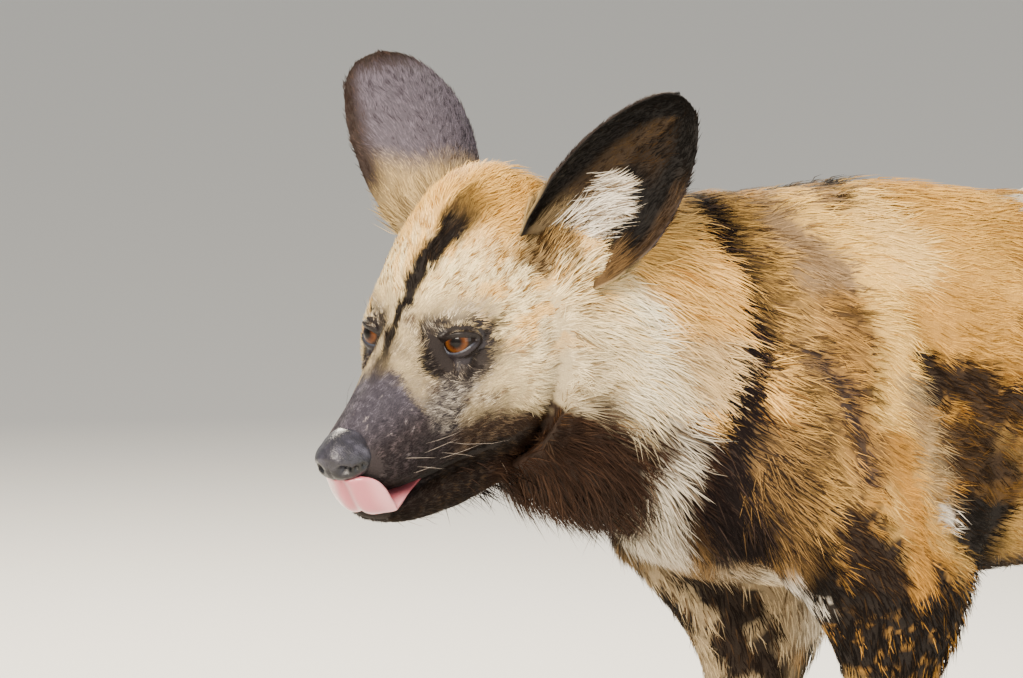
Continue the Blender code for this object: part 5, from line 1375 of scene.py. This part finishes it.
def ear_paint(t, w, inner):
    """Colours of an ear at a share t of its length and a share w across it from its front edge at -1:
    behind, mauve grey with a dark rim and a tan root; in front, a black band along the front edge, brown
    up to the line where the opening begins, and black inside."""
    paint = Paint(len(t))
    root = 1 - ramp(t, 0.06, 0.30)
    if inner:
        paint.layer(1, "#110c09", "#2a1f17", 0.20)
        paint.layer(ramp(t, 0.45, 0.60) * (1 - ramp(t, 0.72, 0.85)) * (1 - ramp(w, 0.35, 0.60)), "#4a3828", "#15100c", 0.5)
        paint.layer(ramp(w, 0.72, 0.86) * (1 - ramp(t, 0.5, 0.7)), "#3f3027", "#6b5646", 0.25)
        paint.layer(ramp(w, 0.30, 0.55) * (1 - ramp(t, 0.05, 0.20)), "#8a7058", "#5a4535", 0.30)
        outer = 1 - ramp(w - ear_line(t), -0.02, 0.06)
        paint.layer(outer, "#5f4c3b", "#2a1f17", 0.42)
        paint.layer(outer * root, "#a8937a", "#4d3d30", 0.40)
        band = np.interp(t, [0.0, 0.34, 0.59, 0.82, 1.0], [-0.80, -0.42, -0.30, 0.02, 1.2])
        paint.layer(1 - ramp(w - band, -0.10, 0.14), "#120d09", "#2b2018", 0.15)
    else:
        paint.layer(1, "#7b747e", "#4a444b", 0.34)
        paint.layer(1 - ramp(t - 0.12 * ramp(-w, 0.2, 0.8), 0.14, 0.36), "#c5ae8c", "#7d6a55", 0.36)
        rim = np.maximum(1 - ramp(w, -0.90, -0.62), ramp(t, 0.80, 0.95))
        paint.layer(np.maximum(rim, 0.6 * ramp(w, 0.86, 0.97)) * ramp(t, 0.15, 0.35), "#3a2c2a", "#5f4f4c", 0.25)
    return paint


def coat_piece(name, surface, allowed, count, long, seed, unwrap, material):
    """One piece of the coat over part of the skin: tufts drawn closer where the hair is shorter."""
    points, faces, outs = surface
    corners = split_quads(faces)
    centres = points[corners].mean(axis=1)
    inside = np.flatnonzero(allowed(centres) > 0)
    corners, centres = corners[inside], centres[inside]
    normal = unit(outs[corners].sum(axis=1))
    hair = hair_at(centres, normal)
    weight = allowed(centres) / (hair[:, 0] * hair[:, 1]) ** 0.8
    count = int(count * COAT_SHARE)
    chosen, shares = spread(points, corners, weight, count, seed)
    roots = np.einsum("nk,nkd->nd", shares, points[corners[chosen]])
    normal = unit(np.einsum("nk,nkd->nd", shares, outs[corners[chosen]]))
    tints = drawn(coat_paint(roots), roots, seed + 1)
    hair = hair_at(roots, normal)
    made, triangles, tint, shading, patches, per = tufts(roots, normal, hair, tints, long, seed + 2)
    made[:, 2] = np.maximum(made[:, 2], 0.0006)
    places = np.repeat(unwrap(roots), per, axis=0) + np.tile(patches, (count, 1))
    return place_piece(name, made + SHIFT, triangles, material, tint, places, shading)


def add(tree, kind, inputs=None, **settings):
    """Adds a node with its settings; an input is given a value or linked to another node's socket."""
    node = tree.nodes.new(kind)
    for name, value in settings.items():
        setattr(node, name, value)
    for name, value in (inputs or {}).items():
        socket = node.inputs[name]
        if isinstance(value, bpy.types.NodeSocket):
            tree.links.new(value, socket)
        else:
            socket.default_value = value
    return node


def stops(node, *rows):
    """Sets a colour ramp's stops from rows of place and hex colour."""
    elements = node.color_ramp.elements
    while len(elements) > 1:
        elements.remove(elements[-1])
    for number, (place, code) in enumerate(rows):
        element = elements[0] if number == 0 else elements.new(place)
        element.position = place
        element.color = (*colour(code), 1)
    return node


def blank(name):
    """A new material with one shader, its tree and that shader."""
    material = bpy.data.materials.new(name)
    material.use_nodes = True
    tree = material.node_tree
    return material, tree, tree.nodes["Principled BSDF"]


def fur_finish():
    """Dog guard hair: keratin, pigmented. A matt, softly glossy strand; its colour attribute is darker at the root and
    lighter at the tip, painted shade among the hairs.
    """
    material, tree, shader = blank("guard_hair")
    coat = add(tree, "ShaderNodeAttribute", attribute_name="coat")
    place = add(tree, "ShaderNodeTexCoord").outputs["Object"]
    # Single hairs within a tuft, drawn as coarse as 1.2 mm so that they show
    strands = add(tree, "ShaderNodeTexNoise", {"Vector": place, "Scale": 800.0, "Detail": 2.0})
    shade = add(tree, "ShaderNodeMapRange", {"Value": strands.outputs["Factor" if "Factor" in strands.outputs else 0],
                "From Min": 0.3, "From Max": 0.7, "To Min": 0.86, "To Max": 1.12})
    tone = add(tree, "ShaderNodeVectorMath", {0: coat.outputs["Color"]}, operation="SCALE")
    tree.links.new(shade.outputs["Result"], tone.inputs["Scale"])
    tree.links.new(tone.outputs["Vector"], shader.inputs["Base Color"])
    shader.inputs["Roughness"].default_value = 0.60
    shader.inputs["IOR"].default_value = 1.45
    shader.inputs["Specular IOR Level"].default_value = 0.10
    return material


def skin_finish():
    """Skin under a short coat: soft and matt where hair covers it, bare, dark and slightly moist at the
    lids and lips. The bump is the grain of the shortest fur and the skin's fine creases."""
    material, tree, shader = blank("haired_skin")
    coat = add(tree, "ShaderNodeAttribute", attribute_name="coat")
    bare = add(tree, "ShaderNodeAttribute", attribute_name="bare").outputs["Fac"]
    place = add(tree, "ShaderNodeTexCoord").outputs["Object"]
    # Fur grain of about 0.8 mm and skin creases of about 2 mm
    grain = add(tree, "ShaderNodeTexNoise", {"Vector": place, "Scale": 1250.0, "Detail": 3.0}).outputs[0]
    crease = add(tree, "ShaderNodeTexVoronoi", {"Vector": place, "Scale": 620.0}, feature="F1").outputs["Distance"]
    shade = add(tree, "ShaderNodeMapRange", {"Value": grain, "From Min": 0.3, "From Max": 0.7, "To Min": 0.74, "To Max": 1.06})
    tone = add(tree, "ShaderNodeVectorMath", {0: coat.outputs["Color"]}, operation="SCALE")
    tree.links.new(shade.outputs["Result"], tone.inputs["Scale"])
    tree.links.new(tone.outputs["Vector"], shader.inputs["Base Color"])
    rough = add(tree, "ShaderNodeMapRange", {"Value": bare, "To Min": 0.80, "To Max": 0.36}).outputs["Result"]
    tree.links.new(rough, shader.inputs["Roughness"])
    height = add(tree, "ShaderNodeMath", {0: grain, 1: crease}, operation="ADD").outputs[0]
    bump = add(tree, "ShaderNodeBump", {"Height": height, "Strength": 0.5, "Distance": 0.0004})
    tree.links.new(bump.outputs["Normal"], shader.inputs["Normal"])
    shader.inputs["IOR"].default_value = 1.45
    shader.inputs["Specular IOR Level"].default_value = 0.30
    return material


def eye_finish():
    """A living eye: brown iris under a clear wet cornea, which gives the eye a sharp small highlight."""
    material, tree, shader = blank("wet_cornea_over_iris")
    flat = add(tree, "ShaderNodeUVMap", uv_map="surface").outputs["UV"]
    centred = add(tree, "ShaderNodeVectorMath", {0: flat, 1: (0.5, 0.5, 0.0)}, operation="SUBTRACT").outputs[0]
    far = add(tree, "ShaderNodeVectorMath", {0: centred}, operation="LENGTH").outputs["Value"]
    way = add(tree, "ShaderNodeVectorMath", {0: centred}, operation="NORMALIZE").outputs[0]
    # Iris fibres about 0.3 mm wide, as noise on the direction from the pupil
    fibres = add(tree, "ShaderNodeTexNoise", {"Vector": way, "Scale": 11.0, "Detail": 5.0}).outputs[0]
    wander = add(tree, "ShaderNodeMath", {0: fibres, 1: 0.030}, operation="MULTIPLY").outputs[0]
    place = add(tree, "ShaderNodeMath", {0: far, 1: wander}, operation="ADD").outputs[0]
    iris = stops(
        add(tree, "ShaderNodeValToRGB", {"Fac": place}),
        (0.0, "#050303"), (0.052, "#050303"), (0.060, "#1f0f06"), (0.078, "#43230d"),
        (0.100, "#553010"), (0.116, "#331b09"), (0.128, "#0d0703"), (0.150, "#120b08"), (0.30, "#1a1210"),
    ).outputs["Color"]
    tree.links.new(iris, shader.inputs["Base Color"])
    shader.inputs["Roughness"].default_value = 0.50
    shader.inputs["Specular IOR Level"].default_value = 0.05
    shader.inputs["Coat Weight"].default_value = 0.45
    shader.inputs["Coat Roughness"].default_value = 0.015
    shader.inputs["Coat IOR"].default_value = 1.38
    return material


def nose_finish():
    """Rhinarium: thick pebbled leather kept moist, dark grey, which shows soft bright patches of sky."""
    material, tree, shader = blank("moist_nose_leather")
    place = add(tree, "ShaderNodeTexCoord").outputs["Object"]
    # Pebbles about 1.1 mm across
    cells = add(tree, "ShaderNodeTexVoronoi", {"Vector": place, "Scale": 900.0}, feature="F1").outputs["Distance"]
    patches = add(tree, "ShaderNodeTexNoise", {"Vector": place, "Scale": 160.0, "Detail": 3.0}).outputs[0]
    base = stops(
        add(tree, "ShaderNodeValToRGB", {"Fac": patches}), (0.30, "#1e1d24"), (0.55, "#2f2e38"), (0.75, "#474652")
    ).outputs["Color"]
    # The colour attribute carries painted light: a lighter top of painted sky light, a darker underside and dark
    # nostrils of painted shade
    coat = add(tree, "ShaderNodeAttribute", attribute_name="coat").outputs["Color"]
    tone = add(tree, "ShaderNodeVectorMath", {0: base, 1: coat}, operation="MULTIPLY").outputs[0]
    tree.links.new(tone, shader.inputs["Base Color"])
    pebbles = add(tree, "ShaderNodeMapRange", {"Value": cells, "From Max": 0.6, "To Min": 1.0, "To Max": 0.0}).outputs[0]
    bump = add(tree, "ShaderNodeBump", {"Height": pebbles, "Strength": 0.45, "Distance": 0.0004})
    tree.links.new(bump.outputs["Normal"], shader.inputs["Normal"])
    shader.inputs["Roughness"].default_value = 0.38
    shader.inputs["IOR"].default_value = 1.45
    return material


def tongue_finish():
    """Tongue: wet pink mucous tissue with fine papillae, soft with a wet gloss."""
    material, tree, shader = blank("wet_tongue")
    place = add(tree, "ShaderNodeTexCoord").outputs["Object"]
    coat = add(tree, "ShaderNodeAttribute", attribute_name="coat").outputs["Color"]
    # Papillae about 0.7 mm across
    grain = add(tree, "ShaderNodeTexVoronoi", {"Vector": place, "Scale": 1400.0}, feature="F1").outputs["Distance"]
    bump = add(tree, "ShaderNodeBump", {"Height": grain, "Strength": 0.30, "Distance": 0.0003})
    tree.links.new(bump.outputs["Normal"], shader.inputs["Normal"])
    tree.links.new(coat, shader.inputs["Base Color"])
    shader.inputs["Roughness"].default_value = 0.34
    shader.inputs["IOR"].default_value = 1.40
    shader.inputs["Subsurface Weight"].default_value = 0.15
    shader.inputs["Subsurface Radius"].default_value = (1.0, 0.35, 0.25)
    shader.inputs["Subsurface Scale"].default_value = 0.003
    shader.inputs["Coat Weight"].default_value = 0.8
    shader.inputs["Coat Roughness"].default_value = 0.12
    return material


def horn_finish():
    """Claw: dark keratin worn dull at the tip, with growth lines along it."""
    material, tree, shader = blank("claw_horn")
    place = add(tree, "ShaderNodeTexCoord").outputs["Object"]
    lines = add(tree, "ShaderNodeTexNoise", {"Vector": place, "Scale": 700.0, "Detail": 3.0}).outputs[0]
    base = stops(
        add(tree, "ShaderNodeValToRGB", {"Fac": lines}), (0.3, "#211b18"), (0.6, "#3a302a"), (0.8, "#5a4c41")
    ).outputs["Color"]
    tree.links.new(base, shader.inputs["Base Color"])
    shader.inputs["Roughness"].default_value = 0.42
    shader.inputs["IOR"].default_value = 1.55
    return material


def plain_finish(name, code, roughness):
    """A plain even paint, for the floor alone."""
    material, _, shader = blank(name)
    shader.inputs["Base Color"].default_value = (*colour(code), 1)
    shader.inputs["Roughness"].default_value = roughness
    return material


FUR, SKIN = fur_finish(), skin_finish()

# The skin: a coarser surface for the body and a finer one for the head, which overlap under the ruff
body_points, body_faces = fused(body_shells(), BODY_VOXEL, 5)
body_points = body_forms(body_points)
x, _, z = body_points.T
fold = ramp(-x, 0.185, 0.215) * (1 - ramp(-x, 0.285, 0.300)) * ramp(z, 0.440, 0.470) * (1 - ramp(z, 0.63, 0.66))
body_points = eased(body_points, body_faces, 0.7 * fold, 60)
body_points[:, 2] = np.maximum(body_points[:, 2], 0.0004)
body_points, body_faces = kept(body_points, body_faces, body_points[:, 0] > -0.307)
neck_front = spine_grid(NECK, 96, 90, 2.15)
neck_front = neck_front[neck_front[:, :, 0].mean(axis=1) < -0.275]
head_points, head_faces = fused(head_shells() + [triangles_of(sunk(neck_front, 0.004))], HEAD_VOXEL, 4)
head_points, head_faces = kept(head_points, head_faces, head_points[:, 0] < -0.297)
border = to_head(head_points)
rear = ramp(-border[:, 0], 0.030, 0.055) * (head_points[:, 0] < -0.305)
head_points = eased(head_points, head_faces, 0.7 * rear, 70)
face_points = head_forms(to_head(head_points))
before_points, before_normals = face_points, normals_at(face_points, head_faces)
hoops = [lid_hoop(side, before_points, before_normals)[0] for side in (1, -1)]
for side in (1, -1):
    face_points = socketed(face_points, side)
head_points = from_head(face_points)

ears = []
for place in (EAR_LEFT, EAR_RIGHT):
    back, inner = ear_surface(place, 44, 35)
    ears.append((from_head(back), from_head(inner)))

body = (body_points, body_faces, normals_at(body_points, body_faces))
head = (head_points, head_faces, normals_at(head_points, head_faces))
lids = []
for hoop in hoops:
    points, faces = hoop_of(from_head(hoop))
    lids.append((points, faces))

skin_shells = [(body_points, body_faces), (head_points, head_faces)]
triangle_shells = lids + [sheet_of(*ear) for ear in ears]
skin_points, skin_faces = joined(
    [(points, split_quads(faces)) for points, faces in skin_shells] + triangle_shells
)
paint = coat_paint(skin_points)
mixed = paint.ground + paint.share[:, None] * (paint.second - paint.ground)
# The skin under the tufts is the coat's colour darkened to 0.80, painted shade beneath the hair
skin_colours = mixed * 0.80
at = to_head(skin_points)
close = 1 - ramp(np.minimum(from_margin(at, 1)[0], from_margin(at, -1)[0]), 0.009, 0.015)
skin_colours += close[:, None] * (colour("#1f1917") - skin_colours)
count_lids = sum(len(points) for points, _ in lids)
count_before = len(body_points) + len(head_points)
bare = np.zeros(len(skin_points))

# Lids: dark bare skin at the margin; on the lower lid a wet rim whose blue-grey is a painted reflection
for number, side in enumerate((1, -1)):
    start = count_before + sum(len(points) for points, _ in lids[:number])
    index = slice(start, start + len(lids[number][0]))
    at = to_head(skin_points[index])
    centre, gaze, outer, up = eye_frame(side)
    distance, _, far = from_margin(at, side)
    away = unit(at - centre)
    low = 1 - ramp(away @ up - unit(opening_curve(side, 120).mean(axis=0)) @ up, -0.10, 0.10)
    margin = 1 - 0.60 * ramp(distance, 0.0050, 0.0090)
    dark = colour("#171110") + low[:, None] * (colour("#201b1e") - colour("#171110"))
    skin_colours[index] += margin[:, None] * (dark - skin_colours[index])
    wet = low * (1 - ramp(far - EYE_RADIUS, 0.0006, 0.0012)) * (1 - ramp(distance, 0.0004, 0.0009))
    # Painted reflection: the wet rim of the lower lid coloured blue-grey; its gloss comes from the bare mask below
    skin_colours[index] += wet[:, None] * (colour("#363a45") - skin_colours[index])
    bare[index] = np.maximum(margin * 0.9, wet)

# Ears, in their own colours
for number, ear in enumerate(ears):
    start = count_before + count_lids + sum(2 * e[0][..., 0].size for e in ears[:number])
    rows, columns = ear[0].shape[:2]
    t = np.broadcast_to(np.linspace(0, 1, rows)[:, None], (rows, columns)).ravel()
    t = 1 - (1 - t) ** 1.25
    w = np.broadcast_to(np.sin(np.linspace(-1, 1, columns) * math.pi / 2), (rows, columns)).ravel()
    w = w if number == 0 else -w
    for layer in (0, 1):
        paint = ear_paint(t, w, layer == 1)
        mixed = paint.ground + paint.share[:, None] * (paint.second - paint.ground)
        # Each face of the ear is its coat's colour darkened to 0.8, painted shade beneath the hair
        skin_colours[start + layer * rows * columns : start + (layer + 1) * rows * columns] = mixed * 0.8

skin = place_piece("skin", skin_points + SHIFT, skin_faces, SKIN, skin_colours)
layer = skin.data.attributes.new("bare", "FLOAT", "POINT")
layer.data.foreach_set("value", bare.astype(np.float32))
FLESH = ["head", "jaw", "neck", "torso", "tail", "ear_left", "ear_right"]
FLESH += list(LEGS) + [name.replace("leg", "paw") for name in LEGS]
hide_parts(*FLESH)

# Nose, tongue, eyes and claws
NOSE_PAD, TONGUE_FLESH, EYE, HORN = nose_finish(), tongue_finish(), eye_finish(), horn_finish()
points, faces = triangles_of(nose_surface(128, 70))
# Painted light on the nose pad: its top lighter as painted sky light, its underside darker and the insides of the
# nostrils darkest, as painted shade
shade = 0.80 - 0.58 * (1 - ramp(points[:, 2], -0.036, -0.022))
inner = np.min([line_distance(points * [1, s, 1], [n[0] for n in NOSTRIL])[0] for s in (1, -1)], axis=0)
shade = shade * (0.12 + 0.88 * ramp(inner, 0.0012, 0.0038))
nose = place_piece("nose_pad", from_head(points) + SHIFT, faces, NOSE_PAD, shade[:, None] * np.ones(3))
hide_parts("nose")

outer_layer, inner_layer = tongue_surface(60, 49)
points, faces = sheet_of(outer_layer, inner_layer)
# The tongue's pink is lighter at its edges, and darker along the groove and at the root inside the mouth as painted
# shade
sideways = (points[:, 1] - 0.003) / 0.0215
pink = colour("#b5656f") + ramp(np.abs(sideways), 0.55, 1.0)[:, None] * (colour("#cf8f94") - colour("#b5656f"))
deep = bump_at(sideways, 0, 0.12) * 0.75
pink = pink + deep[:, None] * (colour("#a04a56") - pink)
root = 1 - ramp(points[:, 0], 0.060, 0.088)
pink = pink + root[:, None] * (colour("#7c3a42") - pink)
tongue = place_piece("tongue_licking", from_head(points) + SHIFT, faces, TONGUE_FLESH, pink)
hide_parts("tongue")

for name, side in (("left", 1), ("right", -1)):
    places, flat = eye_grid(side, 96, 72)
    points, faces = triangles_of(places)
    share, turn = flat[..., 1].ravel(), flat[..., 0].ravel() * 2 * math.pi
    chart = 0.5 + 0.5 * share[:, None] * np.stack([np.cos(turn), np.sin(turn)], axis=-1)
    chart = np.concatenate([chart, [[0.5, 0.5], [1.0, 0.5]]])
    eye = place_piece(f"eyeball_{name}", from_head(points) + SHIFT, faces, EYE, unwrap=chart)
    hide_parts(f"eye_{name}")

claws = []
for rows, side, pose, size in LEGS.values():
    foot = palm_grid(rows, side, pose, size, 40)[1]
    claws += [triangles_of(claw_grid(toe)) for toe in toe_grids(foot, size, 20, 24)]
points, faces = joined(claws)
points[:, 2] = np.maximum(points[:, 2], 0.0006)
claw_piece = place_piece("claws", points + SHIFT, faces, HORN)
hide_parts(*[f"{name.replace('leg', 'claw')}_{k}" for name in LEGS for k in (1, 2, 3, 4)])


def face_allowed(p):
    """Where the head carries hair: not on the lids and sockets, the lips, the nose pad or in the mouth."""
    h = to_head(p)
    a, l, u = h.T
    distance = np.minimum(from_margin(h, 1)[0], from_margin(h, -1)[0])
    lips = np.abs(u - np.interp(a, [-0.02, 0.03, 0.08], [-0.077, -0.0735, -0.0645])) < 0.0025
    nose = (a > 0.093) & (u > -0.045)
    inside = (a > 0.0) & (np.abs(l) < 0.012) & (u > -0.080) & (u < -0.062)
    return (on_head(p) > 0.15) * (distance > 0.0058) * ~(lips & (a > -0.015)) * ~nose * ~inside


def leg_share(p):
    return (p[:, 2] < 0.42) * (on_tail(p) < 0.5) * ~((p[:, 2] < 0.003))


def trunk_share(p):
    return (p[:, 2] >= 0.42) * (on_tail(p) < 0.5) * (neck_share(p) < 0.5)


def neck_share(p):
    x, _, z = p.T
    return (-x - 0.12 * (z - 0.56) > 0.228) * (z > 0.44) * (on_head(p) < 0.8)


# Name, slot, surface, share of it, tufts, whether they are long, and how the map unwraps it
PIECES = [
    ("coat_face_left", "head", head, lambda p: face_allowed(p) * (to_head(p)[:, 1] > 0), 32500, False, unwrap_head),
    ("coat_face_right", "head", head, lambda p: face_allowed(p) * (to_head(p)[:, 1] <= 0), 22000, False, unwrap_head),
    ("coat_ruff_front", "neck", head, neck_share, 11500, True, unwrap_trunk),
    ("coat_ruff", "neck", body, lambda p: neck_share(p) * (p[:, 0] > -0.300), 16000, True, unwrap_trunk),
    ("coat_trunk_left", "torso", body, lambda p: trunk_share(p) * (p[:, 1] < 0), 33000, False, unwrap_trunk),
    ("coat_trunk_right", "torso", body, lambda p: trunk_share(p) * (p[:, 1] >= 0), 25000, False, unwrap_trunk),
    ("coat_forelegs", "foreleg_left", body, lambda p: leg_share(p) * (p[:, 0] < 0.05), 21000, False, unwrap_legs),
    ("coat_hindlegs", "hindleg_left", body, lambda p: leg_share(p) * (p[:, 0] >= 0.05), 19000, False, unwrap_legs),
    ("coat_tail", "tail", body, on_tail, 6000, True, unwrap_tail),
]
for number, (name, slot, surface, share_of, count, long, unwrap) in enumerate(PIECES):
    coat_piece(name, surface, share_of, count, long, 101 + 10 * number, unwrap, FUR)


def lid_tufts(number, side, seed):
    """Short hairs on the outer part of both lids, beyond 2.4 mm from the margin."""
    points, faces = lids[number]
    outs = normals_at(points, faces)
    at = to_head(points)
    distance, _, far = from_margin(at, side)
    reach = np.linalg.norm(at - eye_frame(side)[0], axis=1)
    outer_half = np.zeros(len(points), bool)
    outer_half[: len(points) // 2] = True
    fits = outer_half & (distance > 0.0024)
    used = faces[fits[faces].all(axis=1)]
    return (points, used, outs)


for number, (name, side) in enumerate((("left", 1), ("right", -1))):
    coat_piece(f"coat_lids_{name}", lid_tufts(number, side, 7), lambda p: np.ones(len(p)), 2600, False,
               191 + number, unwrap_head, FUR)


def ear_coat(name, ear, front, seed):
    """Hair of one ear: a short nap behind and on the outer part of its front, long pale hairs that cross
    the opening from the line where that part ends, and sparse dark hairs inside."""
    random = np.random.default_rng(seed)
    back, inner = ear
    rows, columns = back.shape[:2]
    pieces = []
    for layer, kind, count in ((back, "nap", 5000), (inner, "nap", 3400), (inner, "fringe", 1000)):
        count = int(count * COAT_SHARE)
        t = 1 - (1 - random.uniform(0.01, 0.985, count)) ** 1.1
        w = random.uniform(-1, 1, count)
        if kind == "fringe":
            t = random.uniform(0.00, 0.38, count)
            w = ear_line(t) + random.normal(-0.02, 0.10, count)
        w = np.clip(w, -0.999, 0.999)
        i = (1 - (1 - t) ** (1 / 1.25)) * (rows - 1.001)
        j = (np.arcsin(w * front) * 2 / math.pi + 1) / 2 * (columns - 1.001)
        low_i, low_j = i.astype(int), j.astype(int)
        fi, fj = (i - low_i)[:, None], (j - low_j)[:, None]
        a, b = layer[low_i, low_j], layer[low_i, low_j + 1]
        c, d = layer[low_i + 1, low_j], layer[low_i + 1, low_j + 1]
        roots = (a * (1 - fj) + b * fj) * (1 - fi) + (c * (1 - fj) + d * fj) * fi
        along = unit(c - a)
        across = unit(b - a) * front
        away = inner[low_i, low_j] - back[low_i, low_j]
        normal = unit(np.cross(along, across))
        normal = normal * np.sign(np.sum(normal * away, axis=1, keepdims=True)) * (1 if layer is inner else -1)
        paint = ear_paint(t, w, layer is inner)
        hair = np.zeros((count, 7))
        tip = ramp(t, 0.90, 0.98)
        hair[:, 0] = (0.0065 + 0.014 * (1 - ramp(t, 0.02, 0.24))) * (1 - 0.4 * tip)
        hair[:, 1], hair[:, 2] = 0.0006, 15
        way = along + 0.20 * across * np.sign(w)[:, None] * (1 - tip)[:, None]
        if layer is inner:
            deep = ramp(w - ear_line(t), 0.02, 0.12)
            hair[:, 0] = hair[:, 0] + 0.003 * deep
            way = way + (0.5 * (1 - deep))[:, None] * across
        if kind == "fringe":
            hair[:, 0] = np.interp(t, [0.0, 0.12, 0.38], [0.028, 0.030, 0.017])
            hair[:, 1], hair[:, 2] = 0.00065, 20
            way = along + np.interp(t, [0, 0.38], [0.45, 1.1])[:, None] * across
            paint.layer(1, "#efe6da", "#85715e", 0.36)
        tint = drawn(paint, roots, seed + 5)
        hair[:, 4:7] = way
        half = 0.5 if layer is inner else 0.0
        places = np.stack([0.02 + 0.46 * (0.5 + 0.5 * w) + half, 0.02 + 0.9 * t], axis=-1)
        long = kind == "fringe"
        made, faces, tint, shading, patches, per = tufts(roots, normal, hair, tint, long, seed + len(pieces))
        pieces.append((made, faces, tint, shading, np.repeat(places, per, axis=0) + np.tile(patches, (count, 1))))
    points, faces = joined([(piece[0], piece[1]) for piece in pieces])
    tint, shading, places = (np.concatenate([piece[k] for piece in pieces]) for k in (2, 3, 4))
    return place_piece(f"coat_{name}", points + SHIFT, faces, FUR, tint, places, shading)


ear_coat("ear_left", ears[0], 1, 201)
ear_coat("ear_right", ears[1], -1, 211)


def whiskers():
    """Long tapered hairs: four rows on each side of the upper lip, two over each eye and wisps under the
    chin, each rooted at the skin's nearest point to its place."""
    random = np.random.default_rng(231)
    places, ways, sizes, codes = [], [], [], []
    for side in (1, -1):
        for row in range(4):
            for step in range(6):
                ahead, up = 0.080 - 0.0075 * step - 0.002 * row, -0.040 - 0.0062 * row - 0.0008 * step
                places.append((ahead, side * (0.030 + 0.0012 * step), up))
                ways.append((-0.75 - 0.1 * step, side * 0.9, -0.10 - 0.12 * row))
                sizes.append((0.026 + 0.005 * step, 0.00026, 26))
                codes.append("#1c1614" if (row + step) % 3 else "#a89c90")
        for step in range(3):
            places.append((0.004 + 0.004 * step, side * 0.022, 0.012))
            ways.append((-0.6, side * 0.5, 0.6))
            sizes.append((0.022, 0.00038, 50))
            codes.append("#1c1614")
    for _ in range(90):
        ahead, left = random.uniform(-0.020, 0.062), random.normal(0, 0.011)
        places.append((ahead, left, -0.090))
        ways.append((-0.4 + random.normal(0, 0.2), 0.25 * np.sign(left), -0.9))
        sizes.append((random.uniform(0.009, 0.019), 0.00050, 34))
        codes.append("#3b2b22" if random.uniform() < 0.7 else "#8d7c6c")
    places, ways, sizes = (np.array(v, float) for v in (places, ways, sizes))
    points, outs = to_head(head[0]), head[2]
    nearest = np.array([np.argmin(np.sum((points - place) ** 2, axis=1)) for place in places])
    hair = np.column_stack([sizes, np.full(len(sizes), 0.06), ways @ HEAD_AXES])
    tints = np.array([colour(code) for code in codes])
    made, faces, tint, shading, patches, per = tufts(head[0][nearest], outs[nearest], hair, tints, True, 232, 0.3)
    unwrapped = np.repeat(unwrap_head(head[0][nearest]), per, axis=0) + np.tile(patches, (len(places), 1))
    return place_piece("whiskers", made + SHIFT, faces, FUR, tint, unwrapped, shading)


whiskers()

# Studio: a pale floor, a soft key from the front left, a fill and a back light
VIEW_AZIMUTH, VIEW_ELEVATION, VIEW_DISTANCE = math.radians(-28), math.radians(6), 4.3
VIEW_TARGET = np.array([-0.40, -0.03, 0.597]) + SHIFT
VIEW_PIXELS, PHOTO_WIDTH = 6850.0, 1023.0
back_way = Vector(
    (
        math.sin(VIEW_AZIMUTH) * math.cos(VIEW_ELEVATION),
        -math.cos(VIEW_AZIMUTH) * math.cos(VIEW_ELEVATION),
        math.sin(VIEW_ELEVATION),
    )
)
camera_data = bpy.data.cameras.new("camera")
camera_data.sensor_width = 36.0
camera_data.lens = VIEW_PIXELS * camera_data.sensor_width / PHOTO_WIDTH
camera_data.clip_end = 200.0
camera = bpy.data.objects.new("camera", camera_data)
camera.location = Vector(VIEW_TARGET) + back_way * VIEW_DISTANCE
camera.rotation_mode = "QUATERNION"
camera.rotation_quaternion = (-back_way).to_track_quat("-Z", "Y")
bpy.context.scene.collection.objects.link(camera)
bpy.context.scene.camera = camera

ring = np.linspace(0, 2 * math.pi, 96, endpoint=False)
disc = np.column_stack([40 * np.cos(ring), 40 * np.sin(ring), np.zeros(96)])
floor_mesh = bpy.data.meshes.new("floor")
floor_mesh.from_pydata([tuple(v) for v in disc], [], [tuple(range(96))])
floor_mesh.materials.append(plain_finish("matt_pale_floor", "#eae8e3", 0.9))
floor = bpy.data.objects.new("floor", floor_mesh)
bpy.context.scene.collection.objects.link(floor)


def lamp(name, place, aim, size, power, code):
    """A soft square light of a size in metres, turned from its place towards what it lights."""
    light = bpy.data.lights.new(name, "AREA")
    light.shape = "SQUARE"
    light.size = size
    light.energy = power
    light.color = tuple(colour(code))
    made = bpy.data.objects.new(name, light)
    made.location = place
    made.rotation_mode = "QUATERNION"
    made.rotation_quaternion = (Vector(aim) - Vector(place)).to_track_quat("-Z", "Y")
    bpy.context.scene.collection.objects.link(made)


lamp("key", (-2.6, -2.2, 2.6), (-0.35, 0, 0.55), 1.6, 430, "#fff1de")
lamp("fill", (1.2, -3.2, 1.4), (-0.1, 0, 0.45), 2.2, 80, "#f6f4f2")
lamp("back", (0.6, 2.6, 2.6), (-0.30, 0, 0.60), 1.6, 260, "#fff3dd")
world = bpy.data.worlds.new("studio")
world.use_nodes = True
world.node_tree.nodes["Background"].inputs["Color"].default_value = (*colour("#e9e8e4"), 1)
world.node_tree.nodes["Background"].inputs["Strength"].default_value = 0.7
bpy.context.scene.world = world
